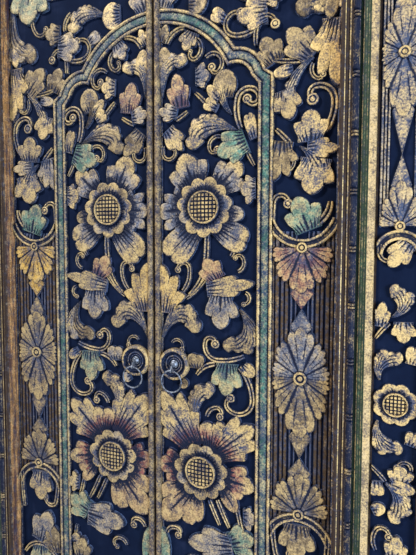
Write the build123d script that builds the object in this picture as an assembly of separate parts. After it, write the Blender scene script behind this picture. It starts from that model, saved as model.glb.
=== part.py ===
from build123d import *

import os
from math import cos, radians, sin

os.makedirs("parts", exist_ok=True)

# Carved double-leaf temple door in its frame.
# Millimetres. X runs to the right, Y away from the viewer, Z up from the floor.
# Y = 0 is the middle of the carved relief, and X = 0 the line where the leaves meet.

# Frame: the opening between its lips, the rebate behind them, the width of its members
OPEN_HALF = 451.0
OPEN_BOTTOM = 73.0
OPEN_TOP = 2074.0
REBATE = 9.0
SILL_REBATE = 13.0
SILL_TOP = OPEN_BOTTOM - SILL_REBATE
FRAME_WIDE = 204.0

# Leaves: each a plank whose outer edge is rounded about its pivot
GROUND_Y = 6.0
LEAF_THICK = 40.0
BACK_Y = GROUND_Y + LEAF_THICK
STOP_GAP = 0.7
STOP_Y = GROUND_Y - STOP_GAP
SIDE_LAP, HEAD_LAP, FOOT_LAP = 6.0, 6.0, 10.0
LEAF_BOTTOM = OPEN_BOTTOM - FOOT_LAP
LEAF_TOP = OPEN_TOP + HEAD_LAP
HEEL_R = LEAF_THICK / 2
PIVOT_X = OPEN_HALF + SIDE_LAP - HEEL_R
PIVOT_Y = GROUND_Y + HEEL_R
MEET_FRONT = 3.5
MEET_BACK = 1.2
RELIEF_GAP = 2.0
RELIEF_EDGE = OPEN_HALF - RELIEF_GAP

# How far motifs reach into the board below them, and how far a leaf's rim does
ROOT = 2.0
FOOT = 0.4

# Bead-and-reel moulding and the carved strip, set into channels of the frame's face
REEL_FROM, REEL_TO, REEL_FLOOR = 25.0, 40.0, -25.0
STRIP_FROM, STRIP_TO, STRIP_FLOOR = 81.0, 169.0, -26.0
STRIP_BOARD = 4.0
BEAD_PITCH, BEAD_LONG = 120.0, 103.0
BEAD_HIGH, BEAD_SLOPE, REEL_BACK = 13.0, 4.0, 4.0
SEAT = 0.2

# Section of jamb and head, outwards from the opening: lip, quirk, fillet, step, cyma, flat band
LIP_WIDE, LIP_Y, LIP_CREST_Y = 13.0, -29.0, -33.0
QUIRK_FROM, QUIRK_TO, QUIRK_Y = 17.0, 19.0, -24.0
FILLET_Y = -31.0
STEP_TO, STEP_Y = 45.0, -22.0
CYMA_TO, CYMA_MID_Y, CYMA_IN_Y, CYMA_OUT_Y = 62.0, -28.5, -25.0, -37.0
BAND_TO, BAND_Y = 76.0, -42.0
FIELD_Y = STRIP_FLOOR - STRIP_BOARD
RIM_FROM, RIM_TO, RIM_Y = STRIP_TO + 3.0, FRAME_WIDE - 6.0, -36.0

# Pivots of the leaves, turned on the ends of the heel, and their holes in sill and head
PIVOT_R = 15.0
PIVOT_OUT = 34.0
RUNNING = 0.05
SNUG = 0.03
LIFT = 0.5

# Ring pulls: a turned plate, an iron knob with a square tang and a tongue, and the ring
BOSS_X, BOSS_Z, BOSS_R = 55.0, 1051.0, 40.0
BOSS_EDGE, BOSS_DISH = 12.0, 6.0
BOSS_STEPS = [(34, 16), (27, 8), (20, 11)]
EYE_Y, EYE_Z = -20.0, 1038.0
CHEEK_R, EYE_HOLE_R = 5.0, 2.6
TONGUE = 5.0
KNOB_R, KNOB_TOP_R, KNOB_EDGE, KNOB_SHOULDER, KNOB_HIGH = 11.0, 7.5, 3.0, 8.0, 10.0
TANG, TANG_DEEP = 7.0, 28.0
RING_R, WIRE_R = 27.0, 2.0
TURNED_SIDES, KNOB_SIDES, EYE_SIDES, HOLE_SIDES, WIRE_SIDES = 18, 12, 12, 8, 6

# Meeting bead
BEAD_WIDE = 14.0
BEAD_CREST = -10.0
BEAD_SIDES = 6

# Heights of the relief above the ground of the leaf, and how far a cutter stands clear of it
LEVEL, HIGH, TOP = 10.0, 12.0, 16.0
CLEAR = 40.0

# Shapes of a carved leaf: how far it opens, how deep its notches run
LEAF_OPEN = 138.0
LEAF_HEART = 0.40
NOTCH = 0.26
CHIP = 75.0
CHORD = 50.0


def place(points, x, z, aim):
    """Turn (along, across) points to the aim and carry them to the place x, z."""
    c, s = cos(radians(aim)), sin(radians(aim))
    return [(x + a * c - b * s, z + a * s + b * c) for a, b in points]


def leaf_outline(x, z, aim, length, width, lobes):
    """A lobed leaf on its base at x, z: an oval whose rim dips between the lobes."""
    points = []
    for k in range(2 * lobes + 1):
        share = k / (2 * lobes)
        dip = 1 - NOTCH * (k % 2 == 0 and 0 < share < 1)
        turn = radians(LEAF_OPEN * (2 * share - 1))
        along = length * (LEAF_HEART + (1 - LEAF_HEART) * cos(turn) * dip)
        points.append((along, width / 2 * sin(turn) * dip))
    return place(points, x, z, aim)


def station(x, z, heading, arcs, share):
    """Place and heading after a share of a run of tangent arcs (radius, turn)."""
    run = share * sum(radius * radians(abs(turn)) for radius, turn in arcs)
    for radius, turn in arcs:
        span = radius * radians(abs(turn))
        used = min(run, span)
        part = turn * used / span
        chord = 2 * radius * sin(radians(abs(part) / 2))
        mid = radians(heading + part / 2)
        x, z, heading = x + chord * cos(mid), z + chord * sin(mid), heading + part
        run -= used
    return x, z, heading


def beside(x, z, heading, offset):
    """The point at an offset to the left of a station."""
    return x - offset * sin(radians(heading)), z + offset * cos(radians(heading))


def band_outline(x, z, heading, arcs, wide, bulb):
    """A scroll's band along its arcs, with a bulb at its end if one is given."""
    turned = sum(abs(turn) for _, turn in arcs)
    count = max(1, round(turned / CHIP))
    left, right = [], []
    for k in range(count + 1):
        here = station(x, z, heading, arcs, k / count)
        half = wide / 2 * (1 - 0.2 * k / count)
        left.append(beside(*here, half))
        right.append(beside(*here, -half))
    if bulb:
        end = station(x, z, heading, arcs, 1)
        tip = place([(bulb, bulb * 1.15), (bulb, -bulb * 1.15)], *end)
        left.append(tip[0])
        right.append(tip[1])
    return left + right[::-1]


def disc_outline(x, z, radius, sides):
    return [
        (x + radius * cos(radians(360 * k / sides)), z + radius * sin(radians(360 * k / sides)))
        for k in range(sides)
    ]


def plume_outline(x, z, heading, arcs, stem, wide, lobes):
    """A plume that widens along its arcs, with lobes on its outer side and a round tip."""
    side = -1 if arcs[-1][1] > 0 else 1
    outer, inner = [], []
    for k in range(2 * lobes + 1):
        share = k / (2 * lobes)
        half = (stem + (wide - stem) * share**1.4) / 2
        dip = 1 - 0.3 * (k % 2 == 0 and k > 0)
        here = station(x, z, heading, arcs, share)
        outer.append(beside(*here, side * half * dip * 1.2))
        if k % 2 == 0:
            inner.append(beside(*here, -side * half * 0.75))
    tip_x, tip_z, way = station(x, z, heading, arcs, 1)
    reach = wide * 0.3
    tip = (tip_x + reach * cos(radians(way)), tip_z + reach * sin(radians(way)))
    return outer + [tip] + inner[::-1]


def palmette_outline(x, z, up, half, length, lobes):
    """A symmetrical spray of lobes that ends in a lozenge: up is 1 or -1."""
    right = [(half * 0.9, 0)]
    spray = 0.68 * length
    for k in range(lobes):
        reach = half * (1 - 0.55 * k / lobes)
        right.append((reach, spray * (k + 0.5) / lobes))
        right.append((reach * 0.68, spray * (k + 0.9) / lobes))
    right[-1] = (half * 0.26, 0.72 * length)
    right.append((half * 0.38, 0.79 * length))
    outline = right + [(0, length)] + [(-a, b) for a, b in reversed(right)]
    return [(x + a, z + up * b) for a, b in outline]


# Where the motifs lie on the right leaf; the left leaf mirrors them.
# Leaves: x, z, aim, length, width, lobes
PANEL_LEAVES = [
    (103, 1853, 245, 42, 48, 3),
    (70, 1676, 95, 80, 60, 3),
    (196, 1662, 108, 92, 62, 3),
    (37, 1630, -52, 66, 50, 3),
    (238, 1590, 202, 74, 78, 3),
    (176, 1270, 128, 58, 64, 3),
    (140, 1243, 8, 122, 50, 3),
    (14, 1178, 76, 112, 100, 3),
    (180, 1230, -92, 78, 84, 3),
    (195, 1064, -92, 76, 72, 3),
    (208, 616, 28, 64, 78, 3),
    (210, 610, 185, 112, 88, 3),
    (8, 500, 84, 122, 76, 1),
]
# Outer petals of the two flowers
PETALS = [
    (112, 1486, 105, 90, 112, 3),
    (172, 1486, 42, 78, 84, 3),
    (90, 1440, 180, 74, 88, 3),
    (112, 1388, 225, 114, 84, 2),
    (165, 1394, -28, 100, 72, 2),
    (100, 858, 125, 138, 116, 5),
    (176, 846, 40, 114, 108, 5),
    (80, 788, 178, 70, 82, 3),
    (188, 778, -8, 80, 84, 3),
    (104, 742, 230, 122, 116, 3),
]
# Scrolls: x, z, heading, arcs (radius, turn), width, bulb radius
PANEL_SCROLLS = [
    (121, 1842, -35, [(34, -110), (17, -190)], 8, 7),
    (138, 1790, 45, [(24, -190), (10, -130)], 8, 8),
    (225, 1620, 115, [(110, -35), (27, -150), (14, -180)], 10, 9),
    (183, 1600, 140, [(22, 160), (10, 110)], 7, 8),
    (141, 1372, -88, [(400, -10), (120, -42)], 10, 0),
    (78, 1236, 48, [(70, 50), (20, 170)], 8, 8),
    (240, 1086, 210, [(95, -40), (34, -150), (15, -150)], 9, 9),
    (226, 1057, -45, [(110, -45), (36, -130), (17, -95)], 9, 9),
    (150, 920, 105, [(24, -190)], 8, 9),
    (150, 716, -66, [(900, 5)], 9, 0),
    (173, 716, -66, [(800, 5)], 9, 0),
    (222, 708, -78, [(700, 5)], 9, 0),
    (38, 606, 60, [(24, -180)], 8, 9),
]
# Plumes: x, z, heading, arcs, stem width, full width, lobes
PANEL_PLUMES = [
    (23, 1712, 92, [(200, -16), (34, -120)], 8, 40, 2),
    (215, 1614, 150, [(120, 38), (36, 100)], 10, 60, 3),
    (18, 1108, 62, [(150, -25), (60, -75)], 9, 58, 3),
    (228, 1196, -45, [(66, -65), (38, -100)], 9, 52, 2),
    (112, 900, 100, [(160, -25), (34, -95)], 10, 54, 3),
]
# The same three kinds on the outer strip and beside the arch
STRIP_LEAVES = [
    (388, 1764, 130, 80, 78, 3),
    (438, 1778, -105, 86, 80, 3),
    (303, 1760, 118, 62, 72, 3),
    (285, 1872, 185, 68, 74, 3),
    (95, 1925, 0, 48, 72, 1),
    (24, 1922, 75, 60, 70, 3),
    (388, 1570, 90, 70, 78, 3),
    (330, 1575, -100, 78, 60, 3),
    (408, 1532, -104, 66, 96, 3),
    (328, 1692, -78, 62, 68, 3),
    (398, 1908, -100, 78, 104, 3),
    (376, 1376, 90, 78, 82, 3),
    (368, 700, -90, 74, 84, 3),
    (380, 520, 90, 62, 76, 3),
]
STRIP_SCROLLS = [
    (388, 1757, 188, [(220, -22)], 9, 0),
    (266, 1808, 95, [(25, -160)], 8, 10),
    (264, 1844, 222, [(60, -62), (25, -180)], 9, 9),
    (434, 1610, 88, [(150, 14), (29, 160), (13, 90)], 11, 12),
    (306, 1408, 95, [(160, -10), (19, -180)], 9, 10),
    (310, 690, -88, [(400, 10), (24, 150)], 9, 9),
]
STRIP_PLUMES = [
    (388, 1756, 205, [(110, 56)], 10, 40, 1),
    (138, 1932, 48, [(110, -55)], 10, 52, 2),
    (368, 1562, -28, [(70, -55)], 10, 42, 1),
]
# On the frame's strip: x is measured from the strip's middle line, outwards
FRIEZE_LEAVES = [
    (22, 1362, 222, 64, 58, 3),
    (-34, 1182, 84, 54, 38, 3),
    (8, 1196, -90, 42, 52, 3),
    (12, 856, 88, 36, 50, 3),
    (-36, 862, -80, 54, 36, 3),
    (6, 690, 85, 54, 52, 3),
]
FRIEZE_SCROLLS = [
    (-38, 1352, -95, [(110, 10), (17, 170)], 7, 7),
    (34, 886, 80, [(13, 180)], 6, 7),
    (-32, 702, 120, [(44, -60), (14, -150)], 7, 7),
]
FRIEZE_PLUMES = [
    (-9, 1203, 25, [(40, 125)], 9, 42, 2),
    (-32, 1068, 112, [(38, -120)], 9, 42, 2),
    (-32, 978, -110, [(42, 118)], 9, 44, 2),
    (-15, 850, -30, [(50, -105)], 9, 50, 2),
]

# The round and upright ornaments: place and size
FLOWERS = [(134, 1440), (127, 786)]
DISC_R, INNER_PETALS, PETAL_R = 41, 9, 69
DISC_SIDES, EYELET_SIDES = 12, 6
STRIP_IN = 79
STRIP_X = OPEN_HALF - STRIP_IN
ROSETTE_Z, CROSS_TOP, CROSS_LOW = 1047, 1205, 859
FAN_TOP, FAN_LOW = 1344, 728
EYELET_R, ROSETTE_R, FAN_EYE_R = 14, 17, 15
SPRAY_HALF, SPRAY_LOBES = 67, 3
TIP_LAP = 4
CRESCENTS = [(1431, 200, 340), (644, 15, 165)]
CRESCENT_R, CRESCENT_WIDE = 84, 9
ARCH_Z, ARCH_R = 1673, 211
SHOULDER_X, SHOULDER_Z, SHOULDER_R = 210, 1728, 39
MOULD_X, MOULD_WIDE, MOULD_BEAD = 266, 38, 9
RAIL_WIDE, RAIL_GAP = 75, 3
RAIL_LOW = (OPEN_BOTTOM + RAIL_GAP, OPEN_BOTTOM + RAIL_GAP + RAIL_WIDE)
RAIL_TOP = (OPEN_TOP - RAIL_GAP - RAIL_WIDE, OPEN_TOP - RAIL_GAP)

# The frame's strip: its ornaments, by height above the floor
FRIEZE_MID = (STRIP_FROM + STRIP_TO) / 2
FRIEZE_HALF = 40
FRIEZE_ROSETTE_Z, FRIEZE_CROSS_Z, FRIEZE_FAN_Z, FRIEZE_DISC_Z = 1730, 1532, 1388, 1018
FRIEZE_TOP_Z = 1870
FRIEZE_DISC_R, FRIEZE_PETAL_R, FRIEZE_PETALS, FRIEZE_SIDES = 25, 44, 8, 8
FRIEZE_EYE_R, FRIEZE_FAN_R = 13, 11
FRIEZE_CRESCENT_Z, FRIEZE_CRESCENT_R, FRIEZE_CRESCENT_WIDE = 1328, 52, 7
FRIEZE_HIGH = 9.0


# Solids
def prism(outline, ground, height, root=ROOT):
    """A motif that stands out of a ground plane towards the viewer."""
    face = Face(Wire.make_polygon([Vector(x, ground + root, z) for x, z in outline]))
    return Solid.extrude(face, Vector(0, -(root + height), 0))


def crowned(x, z, aim, length, width, lobes, ground, height):
    """A leaf whose lobes rise from the ground plane to its heart."""
    rim = [Vector(a, ground + FOOT, b) for a, b in leaf_outline(x, z, aim, length, width, lobes)]
    (heart,) = place([(LEAF_HEART * length, 0)], x, z, aim)
    apex = Vector(heart[0], ground - height, heart[1])
    faces = [Face(Wire.make_polygon([a, b, apex])) for a, b in zip(rim, rim[1:] + rim[:1])]
    faces.append(Face(Wire.make_polygon(rim)))
    return closed(faces)


def closed(faces):
    """The solid within a closed set of faces, whichever way they were drawn."""
    solid = Solid(Shell(faces))
    return solid if solid.volume > 0 else Solid(Shell([-face for face in faces]))


def box(x0, x1, y0, y1, z0, z1):
    return Solid.make_box(x1 - x0, y1 - y0, z1 - z0, Plane((x0, y0, z0)))


def rod(start, way, radius, length):
    return Solid.make_cylinder(radius, length, Plane(start, z_dir=way))


def turned(centre, profile, sides=TURNED_SIDES):
    """A piece turned about the Y axis through a centre, from a closed profile (radius, y)."""
    x, z = centre

    def point(row, k):
        radius, y = row
        turn = radians(360 * (k % sides) / sides)
        return Vector(x + radius * cos(turn), y, z + radius * sin(turn))

    faces = []
    for a, b in zip(profile, profile[1:] + profile[:1]):
        if a[0] == 0 and b[0] == 0:
            continue
        for k in range(sides):
            corners = [point(a, k), point(a, k + 1), point(b, k + 1), point(b, k)]
            if a[0] == 0:
                corners.pop(0)
            elif b[0] == 0:
                corners.pop()
            faces.append(Face(Wire.make_polygon(corners)))
    return closed(faces)


def spray_outline(x, z, tip_z, half):
    """A spray from its foot to just past the height where its tip meets another's."""
    up = 1 if tip_z > z else -1
    return palmette_outline(x, z, up, half, abs(tip_z - z) + TIP_LAP, SPRAY_LOBES)


def sector_outline(x, z, r0, r1, a0, a1):
    """A stretch of a ring between two radii and two angles."""
    count = max(2, round(radians(abs(a1 - a0)) * r1 / CHORD))
    turns = [radians(a0 + (a1 - a0) * k / count) for k in range(count + 1)]
    inner = [(x + r0 * cos(t), z + r0 * sin(t)) for t in turns]
    outer = [(x + r1 * cos(t), z + r1 * sin(t)) for t in turns]
    return outer + inner[::-1]


def wreath_outline(x, z, radius, petals):
    """The scalloped rim of a ring of round petals."""
    points = []
    for k in range(petals):
        for share, reach in ((0, 0.84), (0.5, 1.0)):
            turn = radians(90 + 360 * (k + share) / petals)
            points.append((x + reach * radius * cos(turn), z + reach * radius * sin(turn)))
    return points


def motifs(leaves, scrolls, plumes, ground, height, mid=0.0):
    """Leaves, scrolls and plumes on a ground plane, under a given height."""
    solids = [crowned(mid + x, *rest, ground, height) for x, *rest in leaves]
    solids += [prism(band_outline(mid + x, *rest), ground, 0.65 * height) for x, *rest in scrolls]
    solids += [prism(plume_outline(mid + x, *rest), ground, 0.8 * height) for x, *rest in plumes]
    return solids


def flower(x, z):
    """A seed disc in a ring of petals."""
    wreath = prism(wreath_outline(x, z, PETAL_R, INNER_PETALS), GROUND_Y, HIGH)
    return [wreath, prism(disc_outline(x, z, DISC_R, DISC_SIDES), GROUND_Y, TOP)]


def outer_strip():
    """The upright strip beside the arch: sprays, rosette and crescents."""
    solids = [
        prism(spray_outline(STRIP_X, z, tip, SPRAY_HALF), GROUND_Y, LEVEL)
        for z, tip in ((FAN_TOP, CROSS_TOP), (ROSETTE_Z, CROSS_TOP), (ROSETTE_Z, CROSS_LOW),
                       (FAN_LOW, CROSS_LOW))
    ]
    for z, radius in ((FAN_TOP, EYELET_R), (ROSETTE_Z, ROSETTE_R), (FAN_LOW, FAN_EYE_R)):
        solids.append(prism(disc_outline(STRIP_X, z, radius, EYELET_SIDES), GROUND_Y, TOP))
    for z, a0, a1 in CRESCENTS:
        rim = (CRESCENT_R - CRESCENT_WIDE, CRESCENT_R)
        solids.append(prism(sector_outline(STRIP_X, z, *rim, a0, a1), GROUND_Y, HIGH))
    return solids


def arch_bead(inset):
    """One bead of the moulding round the inner panel: upright, shoulder and arch in one outline."""
    def ring(x, z, radius, a0, a1):
        return sector_outline(x, z, radius + inset, radius + inset + MOULD_BEAD, a0, a1)

    x0 = MOULD_X + inset
    foot, top = RAIL_LOW[1] - 1, SHOULDER_Z - 12
    upright = [(x0, foot), (x0 + MOULD_BEAD, foot), (x0 + MOULD_BEAD, top + inset / 2)]
    shoulder = ring(SHOULDER_X, SHOULDER_Z, SHOULDER_R, 14, 96)
    half = len(shoulder) // 2
    upright += [shoulder[0], shoulder[-1], (x0, top + inset / 2 - 6)]
    arch = ring(0, ARCH_Z, ARCH_R, 33.5, 90)
    return [prism(row, GROUND_Y, LEVEL) for row in (upright, shoulder, arch)]


def rails():
    """Plain bands across the foot and the head of the leaf, past what the photo shows."""
    return [box(MEET_FRONT, RELIEF_EDGE, 0.0, GROUND_Y + 1, *span) for span in (RAIL_LOW, RAIL_TOP)]


def upright(edges, low, high):
    """A closed run of edges in the XY plane, drawn up between two heights."""
    face = Face(Wire([edge.edge() for edge in edges])).moved(Location((0, 0, low)))
    return Solid.extrude(face, Vector(0, 0, high - low))


def plank():
    """The board of the leaf, its outer edge rounded about the pivot."""
    edges = [
        Line((MEET_FRONT, GROUND_Y), (MEET_BACK, BACK_Y)),
        Line((MEET_BACK, BACK_Y), (PIVOT_X, BACK_Y)),
        ThreePointArc((PIVOT_X, BACK_Y), (PIVOT_X + HEEL_R, PIVOT_Y), (PIVOT_X, GROUND_Y)),
        Line((PIVOT_X, GROUND_Y), (MEET_FRONT, GROUND_Y)),
    ]
    return upright(edges, LEAF_BOTTOM, LEAF_TOP)


def boss_seat(root):
    """The round place that is kept free for the ring's plate."""
    outline = disc_outline(BOSS_X, BOSS_Z, BOSS_R + SEAT, TURNED_SIDES)
    return prism(outline, GROUND_Y, CLEAR, root)


def carved_leaf():
    """A leaf with its carving, made as the right one."""
    relief = motifs(
        PANEL_LEAVES + STRIP_LEAVES, PANEL_SCROLLS + STRIP_SCROLLS, PANEL_PLUMES + STRIP_PLUMES,
        GROUND_Y, HIGH)
    relief += [crowned(*row, GROUND_Y, LEVEL) for row in PETALS]
    for x, z in FLOWERS:
        relief += flower(x, z)
    relief += outer_strip() + arch_bead(0) + arch_bead(MOULD_WIDE - MOULD_BEAD) + rails()
    carving = relief[0].fuse(*relief[1:])
    field = box(MEET_FRONT + BEAD_WIDE, RELIEF_EDGE, -CLEAR, PIVOT_Y, LEAF_BOTTOM, LEAF_TOP)
    leaf = plank().fuse(*carving.intersect(field).solids())
    leaf -= boss_seat(0)
    mortise = TANG / 2 + SNUG
    leaf -= box(BOSS_X - mortise, BOSS_X + mortise, GROUND_Y - 1, GROUND_Y + TANG_DEEP + 1,
                BOSS_Z - mortise, BOSS_Z + mortise)
    pivots = [
        rod((PIVOT_X, PIVOT_Y, end - way), (0, 0, way), PIVOT_R, PIVOT_OUT + 1)
        for end, way in ((LEAF_BOTTOM, -1), (LEAF_TOP, 1))
    ]
    return leaf.fuse(*pivots)


def meeting_bead():
    """The half-round bead along the leaf's meeting edge."""
    radius = BEAD_WIDE / 2
    mid, round_y = MEET_FRONT + radius, BEAD_CREST + radius
    turns = [radians(180 * k / BEAD_SIDES) for k in range(BEAD_SIDES + 1)]
    section = [(mid + radius * cos(t), round_y - radius * sin(t)) for t in turns]
    section += [(MEET_FRONT, GROUND_Y), (MEET_FRONT + BEAD_WIDE, GROUND_Y)]
    face = Face(Wire.make_polygon([Vector(x, y, RAIL_LOW[0]) for x, y in section]))
    bead = Solid.extrude(face, Vector(0, 0, RAIL_TOP[1] - RAIL_LOW[0]))
    return bead - boss_seat(1)


def ring_boss():
    """The turned plate behind the ring: a rim round stepped grooves, with a hole for the tang."""
    hole = TANG / 2 / cos(radians(45)) + 0.45
    heights = [
        (hole, 0), (BOSS_R, 0), (BOSS_R, BOSS_EDGE), *BOSS_STEPS, (KNOB_R + 2, BOSS_DISH),
        (hole, BOSS_DISH),
    ]
    return turned((BOSS_X, BOSS_Z), [(r, GROUND_Y - h) for r, h in heights])


def across_eye(radius, sides, reach):
    """A round bar or hole on the eye's axis, its flats up and down, over a reach each way."""
    step = 360 / sides
    rim = [
        Vector(BOSS_X - reach, EYE_Y + radius * cos(radians(a)), EYE_Z + radius * sin(radians(a)))
        for a in (step * (k + 0.5) for k in range(sides))
    ]
    return Solid.extrude(Face(Wire.make_polygon(rim)), Vector(2 * reach, 0, 0))


def ring_eye():
    """The iron knob: its tang holds the boss and its tongue carries the ring."""
    back, half = GROUND_Y - BOSS_DISH, TANG / 2
    tang = box(BOSS_X - half, BOSS_X + half, back - 1, GROUND_Y + TANG_DEEP,
               BOSS_Z - half, BOSS_Z + half)
    profile = [
        (0, back), (KNOB_R, back), (KNOB_R, back - KNOB_EDGE), (KNOB_TOP_R, back - KNOB_SHOULDER),
        (0, back - KNOB_HIGH),
    ]
    knob = turned((BOSS_X, BOSS_Z), profile, KNOB_SIDES)
    thick = TONGUE / 2
    tongue = box(BOSS_X - thick, BOSS_X + thick, EYE_Y - CHEEK_R + 1, back - KNOB_EDGE - 1,
                 EYE_Z + 1, BOSS_Z)
    hole_r = EYE_HOLE_R / cos(radians(180 / HOLE_SIDES))
    cheek = across_eye(CHEEK_R, EYE_SIDES, thick)
    return tang.fuse(knob, tongue, cheek) - across_eye(hole_r, HOLE_SIDES, TANG)


def pull_ring():
    """The ring of round wire that hangs in the eye."""
    section = [
        (RING_R + WIRE_R * cos(radians(a)), EYE_Y + WIRE_R * sin(radians(a)))
        for a in (360 * k / WIRE_SIDES for k in range(WIRE_SIDES))
    ]
    return turned((BOSS_X, EYE_Z - RING_R), section)


def pivot_socket(mouth, end, way):
    """The hole that a pivot turns in: from a mouth to past the pivot's end, in the way given."""
    depth = abs(end + way * (PIVOT_OUT + LIFT) - mouth)
    return rod((PIVOT_X, PIVOT_Y, mouth - way), (0, 0, way), PIVOT_R + RUNNING, depth + 1)


def frame_profile(at):
    """The section of jamb and head, from the opening outwards: at places (outwards, y)."""
    def line(a, b):
        return Edge.make_line(at(*a), at(*b))

    def arc(a, b, c):
        return Edge.make_three_point_arc(at(*a), at(*b), at(*c))

    inner = [
        (LIP_WIDE, LIP_Y), (QUIRK_FROM, LIP_Y), (QUIRK_FROM, QUIRK_Y), (QUIRK_TO, QUIRK_Y),
        (QUIRK_TO, FILLET_Y), (REEL_FROM, FILLET_Y), (REEL_FROM, REEL_FLOOR),
        (REEL_TO, REEL_FLOOR), (REEL_TO, STEP_Y), (STEP_TO, STEP_Y), (STEP_TO, CYMA_IN_Y),
    ]
    outer = [
        (CYMA_TO, CYMA_OUT_Y), (CYMA_TO, BAND_Y), (BAND_TO, BAND_Y), (BAND_TO, FIELD_Y),
        (STRIP_FROM, FIELD_Y), (STRIP_FROM, STRIP_FLOOR), (STRIP_TO, STRIP_FLOOR),
        (STRIP_TO, FIELD_Y), (RIM_FROM, FIELD_Y), (RIM_FROM, BAND_Y), (RIM_TO, BAND_Y),
        (RIM_TO, RIM_Y), (FRAME_WIDE, RIM_Y), (FRAME_WIDE, BACK_Y), (REBATE, BACK_Y),
        (REBATE, STOP_Y), (0, STOP_Y), (0, LIP_Y),
    ]
    edges = [arc((0, LIP_Y), (LIP_WIDE / 2, LIP_CREST_Y), (LIP_WIDE, LIP_Y))]
    edges += [line(a, b) for a, b in zip(inner, inner[1:])]
    mid = STEP_TO + 0.6 * (CYMA_TO - STEP_TO)
    edges.append(arc((STEP_TO, CYMA_IN_Y), (mid, CYMA_MID_Y), (CYMA_TO, CYMA_OUT_Y)))
    edges += [line(a, b) for a, b in zip(outer, outer[1:])]
    return Face(Wire(edges))


def mitre(side):
    """What the head takes off a jamb at its mitred corner, or with -1 the jamb off the head."""
    u0, u1 = -CLEAR, FRAME_WIDE + CLEAR
    corner = [(u0, u0), (u1, u1), (u0, u1) if side > 0 else (u1, u0)]
    points = [Vector(OPEN_HALF + u, BAND_Y - CLEAR, OPEN_TOP + v) for u, v in corner]
    return Solid.extrude(Face(Wire.make_polygon(points)), Vector(0, BACK_Y - BAND_Y + 2 * CLEAR, 0))


def jamb():
    face = frame_profile(lambda u, y: Vector(OPEN_HALF + u, y, 0))
    return Solid.extrude(face, Vector(0, 0, OPEN_TOP + FRAME_WIDE)) - mitre(1)


def head():
    reach = OPEN_HALF + FRAME_WIDE
    face = frame_profile(lambda u, y: Vector(-reach, y, OPEN_TOP + u))
    beam = Solid.extrude(face, Vector(2 * reach, 0, 0))
    socket = pivot_socket(OPEN_TOP + REBATE, LEAF_TOP, 1)
    for cut in (mitre(-1), socket):
        beam = beam - cut - cut.mirror(Plane.YZ)
    return beam


def sill():
    step = box(-OPEN_HALF, OPEN_HALF, BAND_Y, STOP_Y, 0, OPEN_BOTTOM)
    tread = box(-OPEN_HALF - REBATE, OPEN_HALF + REBATE, STOP_Y, BACK_Y, 0, SILL_TOP)
    socket = pivot_socket(SILL_TOP, LEAF_BOTTOM, -1)
    return step.fuse(tread) - socket - socket.mirror(Plane.YZ)


def reel_moulding():
    """The bead-and-reel strip of a jamb: long beads in a row on a flat back."""
    x0, x1 = OPEN_HALF + REEL_FROM + SEAT, OPEN_HALF + REEL_TO - SEAT
    back, top = REEL_FLOOR, OPEN_TOP + REEL_FROM
    strip = box(x0, x1, back - REEL_BACK, back, 0, top)
    crest = back - BEAD_HIGH
    section = [(x0, back - REEL_BACK + 1), (x0 + BEAD_SLOPE, crest), (x1 - BEAD_SLOPE, crest),
               (x1, back - REEL_BACK + 1)]
    count = int(top // BEAD_PITCH)
    start = (top - count * BEAD_PITCH) / 2
    beads = []
    for k in range(count):
        low = start + k * BEAD_PITCH
        face = Face(Wire.make_polygon([Vector(x, y, low) for x, y in section]))
        beads.append(Solid.extrude(face, Vector(0, 0, BEAD_LONG)))
    return strip.fuse(*beads)


def head_round():
    """The plain round of the head, in line with the jambs' bead-and-reel."""
    reach = OPEN_HALF + REEL_FROM + SEAT
    low, high = OPEN_TOP + REEL_FROM + SEAT, OPEN_TOP + REEL_TO - SEAT
    back, crest = REEL_FLOOR, REEL_FLOOR - BEAD_HIGH
    shoulder = crest + BEAD_SLOPE
    section = [(back, low), (shoulder, low), (crest, low + BEAD_SLOPE),
               (crest, high - BEAD_SLOPE), (shoulder, high), (back, high)]
    face = Face(Wire.make_polygon([Vector(-reach, y, z) for y, z in section]))
    return Solid.extrude(face, Vector(2 * reach, 0, 0))


def frieze_board(x0, x1, z0, z1):
    return box(x0, x1, FIELD_Y, STRIP_FLOOR, z0, z1)


def carved_frieze():
    """The carved strip of the right jamb."""
    x0, x1 = OPEN_HALF + STRIP_FROM + SEAT, OPEN_HALF + STRIP_TO - SEAT
    mid = OPEN_HALF + FRIEZE_MID
    ground = FIELD_Y
    rows = [
        (spray_outline(mid, z, tip, FRIEZE_HALF), 1.0)
        for z, tip in ((FRIEZE_ROSETTE_Z, FRIEZE_TOP_Z), (FRIEZE_ROSETTE_Z, FRIEZE_CROSS_Z),
                       (FRIEZE_FAN_Z, FRIEZE_CROSS_Z))
    ]
    rows.append((wreath_outline(mid, FRIEZE_DISC_Z, FRIEZE_PETAL_R, FRIEZE_PETALS), 0.7))
    for z, radius in ((FRIEZE_ROSETTE_Z, FRIEZE_EYE_R), (FRIEZE_FAN_Z, FRIEZE_FAN_R),
                      (FRIEZE_DISC_Z, FRIEZE_DISC_R)):
        rows.append((disc_outline(mid, z, radius, FRIEZE_SIDES), 1.3))
    rim = (FRIEZE_CRESCENT_R - FRIEZE_CRESCENT_WIDE, FRIEZE_CRESCENT_R)
    rows.append((sector_outline(mid, FRIEZE_CRESCENT_Z, *rim, 5, 175), 1.1))
    relief = [prism(row, ground, FRIEZE_HIGH * part) for row, part in rows]
    relief += motifs(FRIEZE_LEAVES, FRIEZE_SCROLLS, FRIEZE_PLUMES, ground, 1.2 * FRIEZE_HIGH, mid)
    field = box(x0, x1, ground - CLEAR, STRIP_FLOOR, 0, OPEN_TOP)
    carving = relief[0].fuse(*relief[1:]).intersect(field)
    board = frieze_board(x0, x1, 0, OPEN_TOP + STRIP_FROM)
    return board.fuse(*carving.solids())


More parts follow.
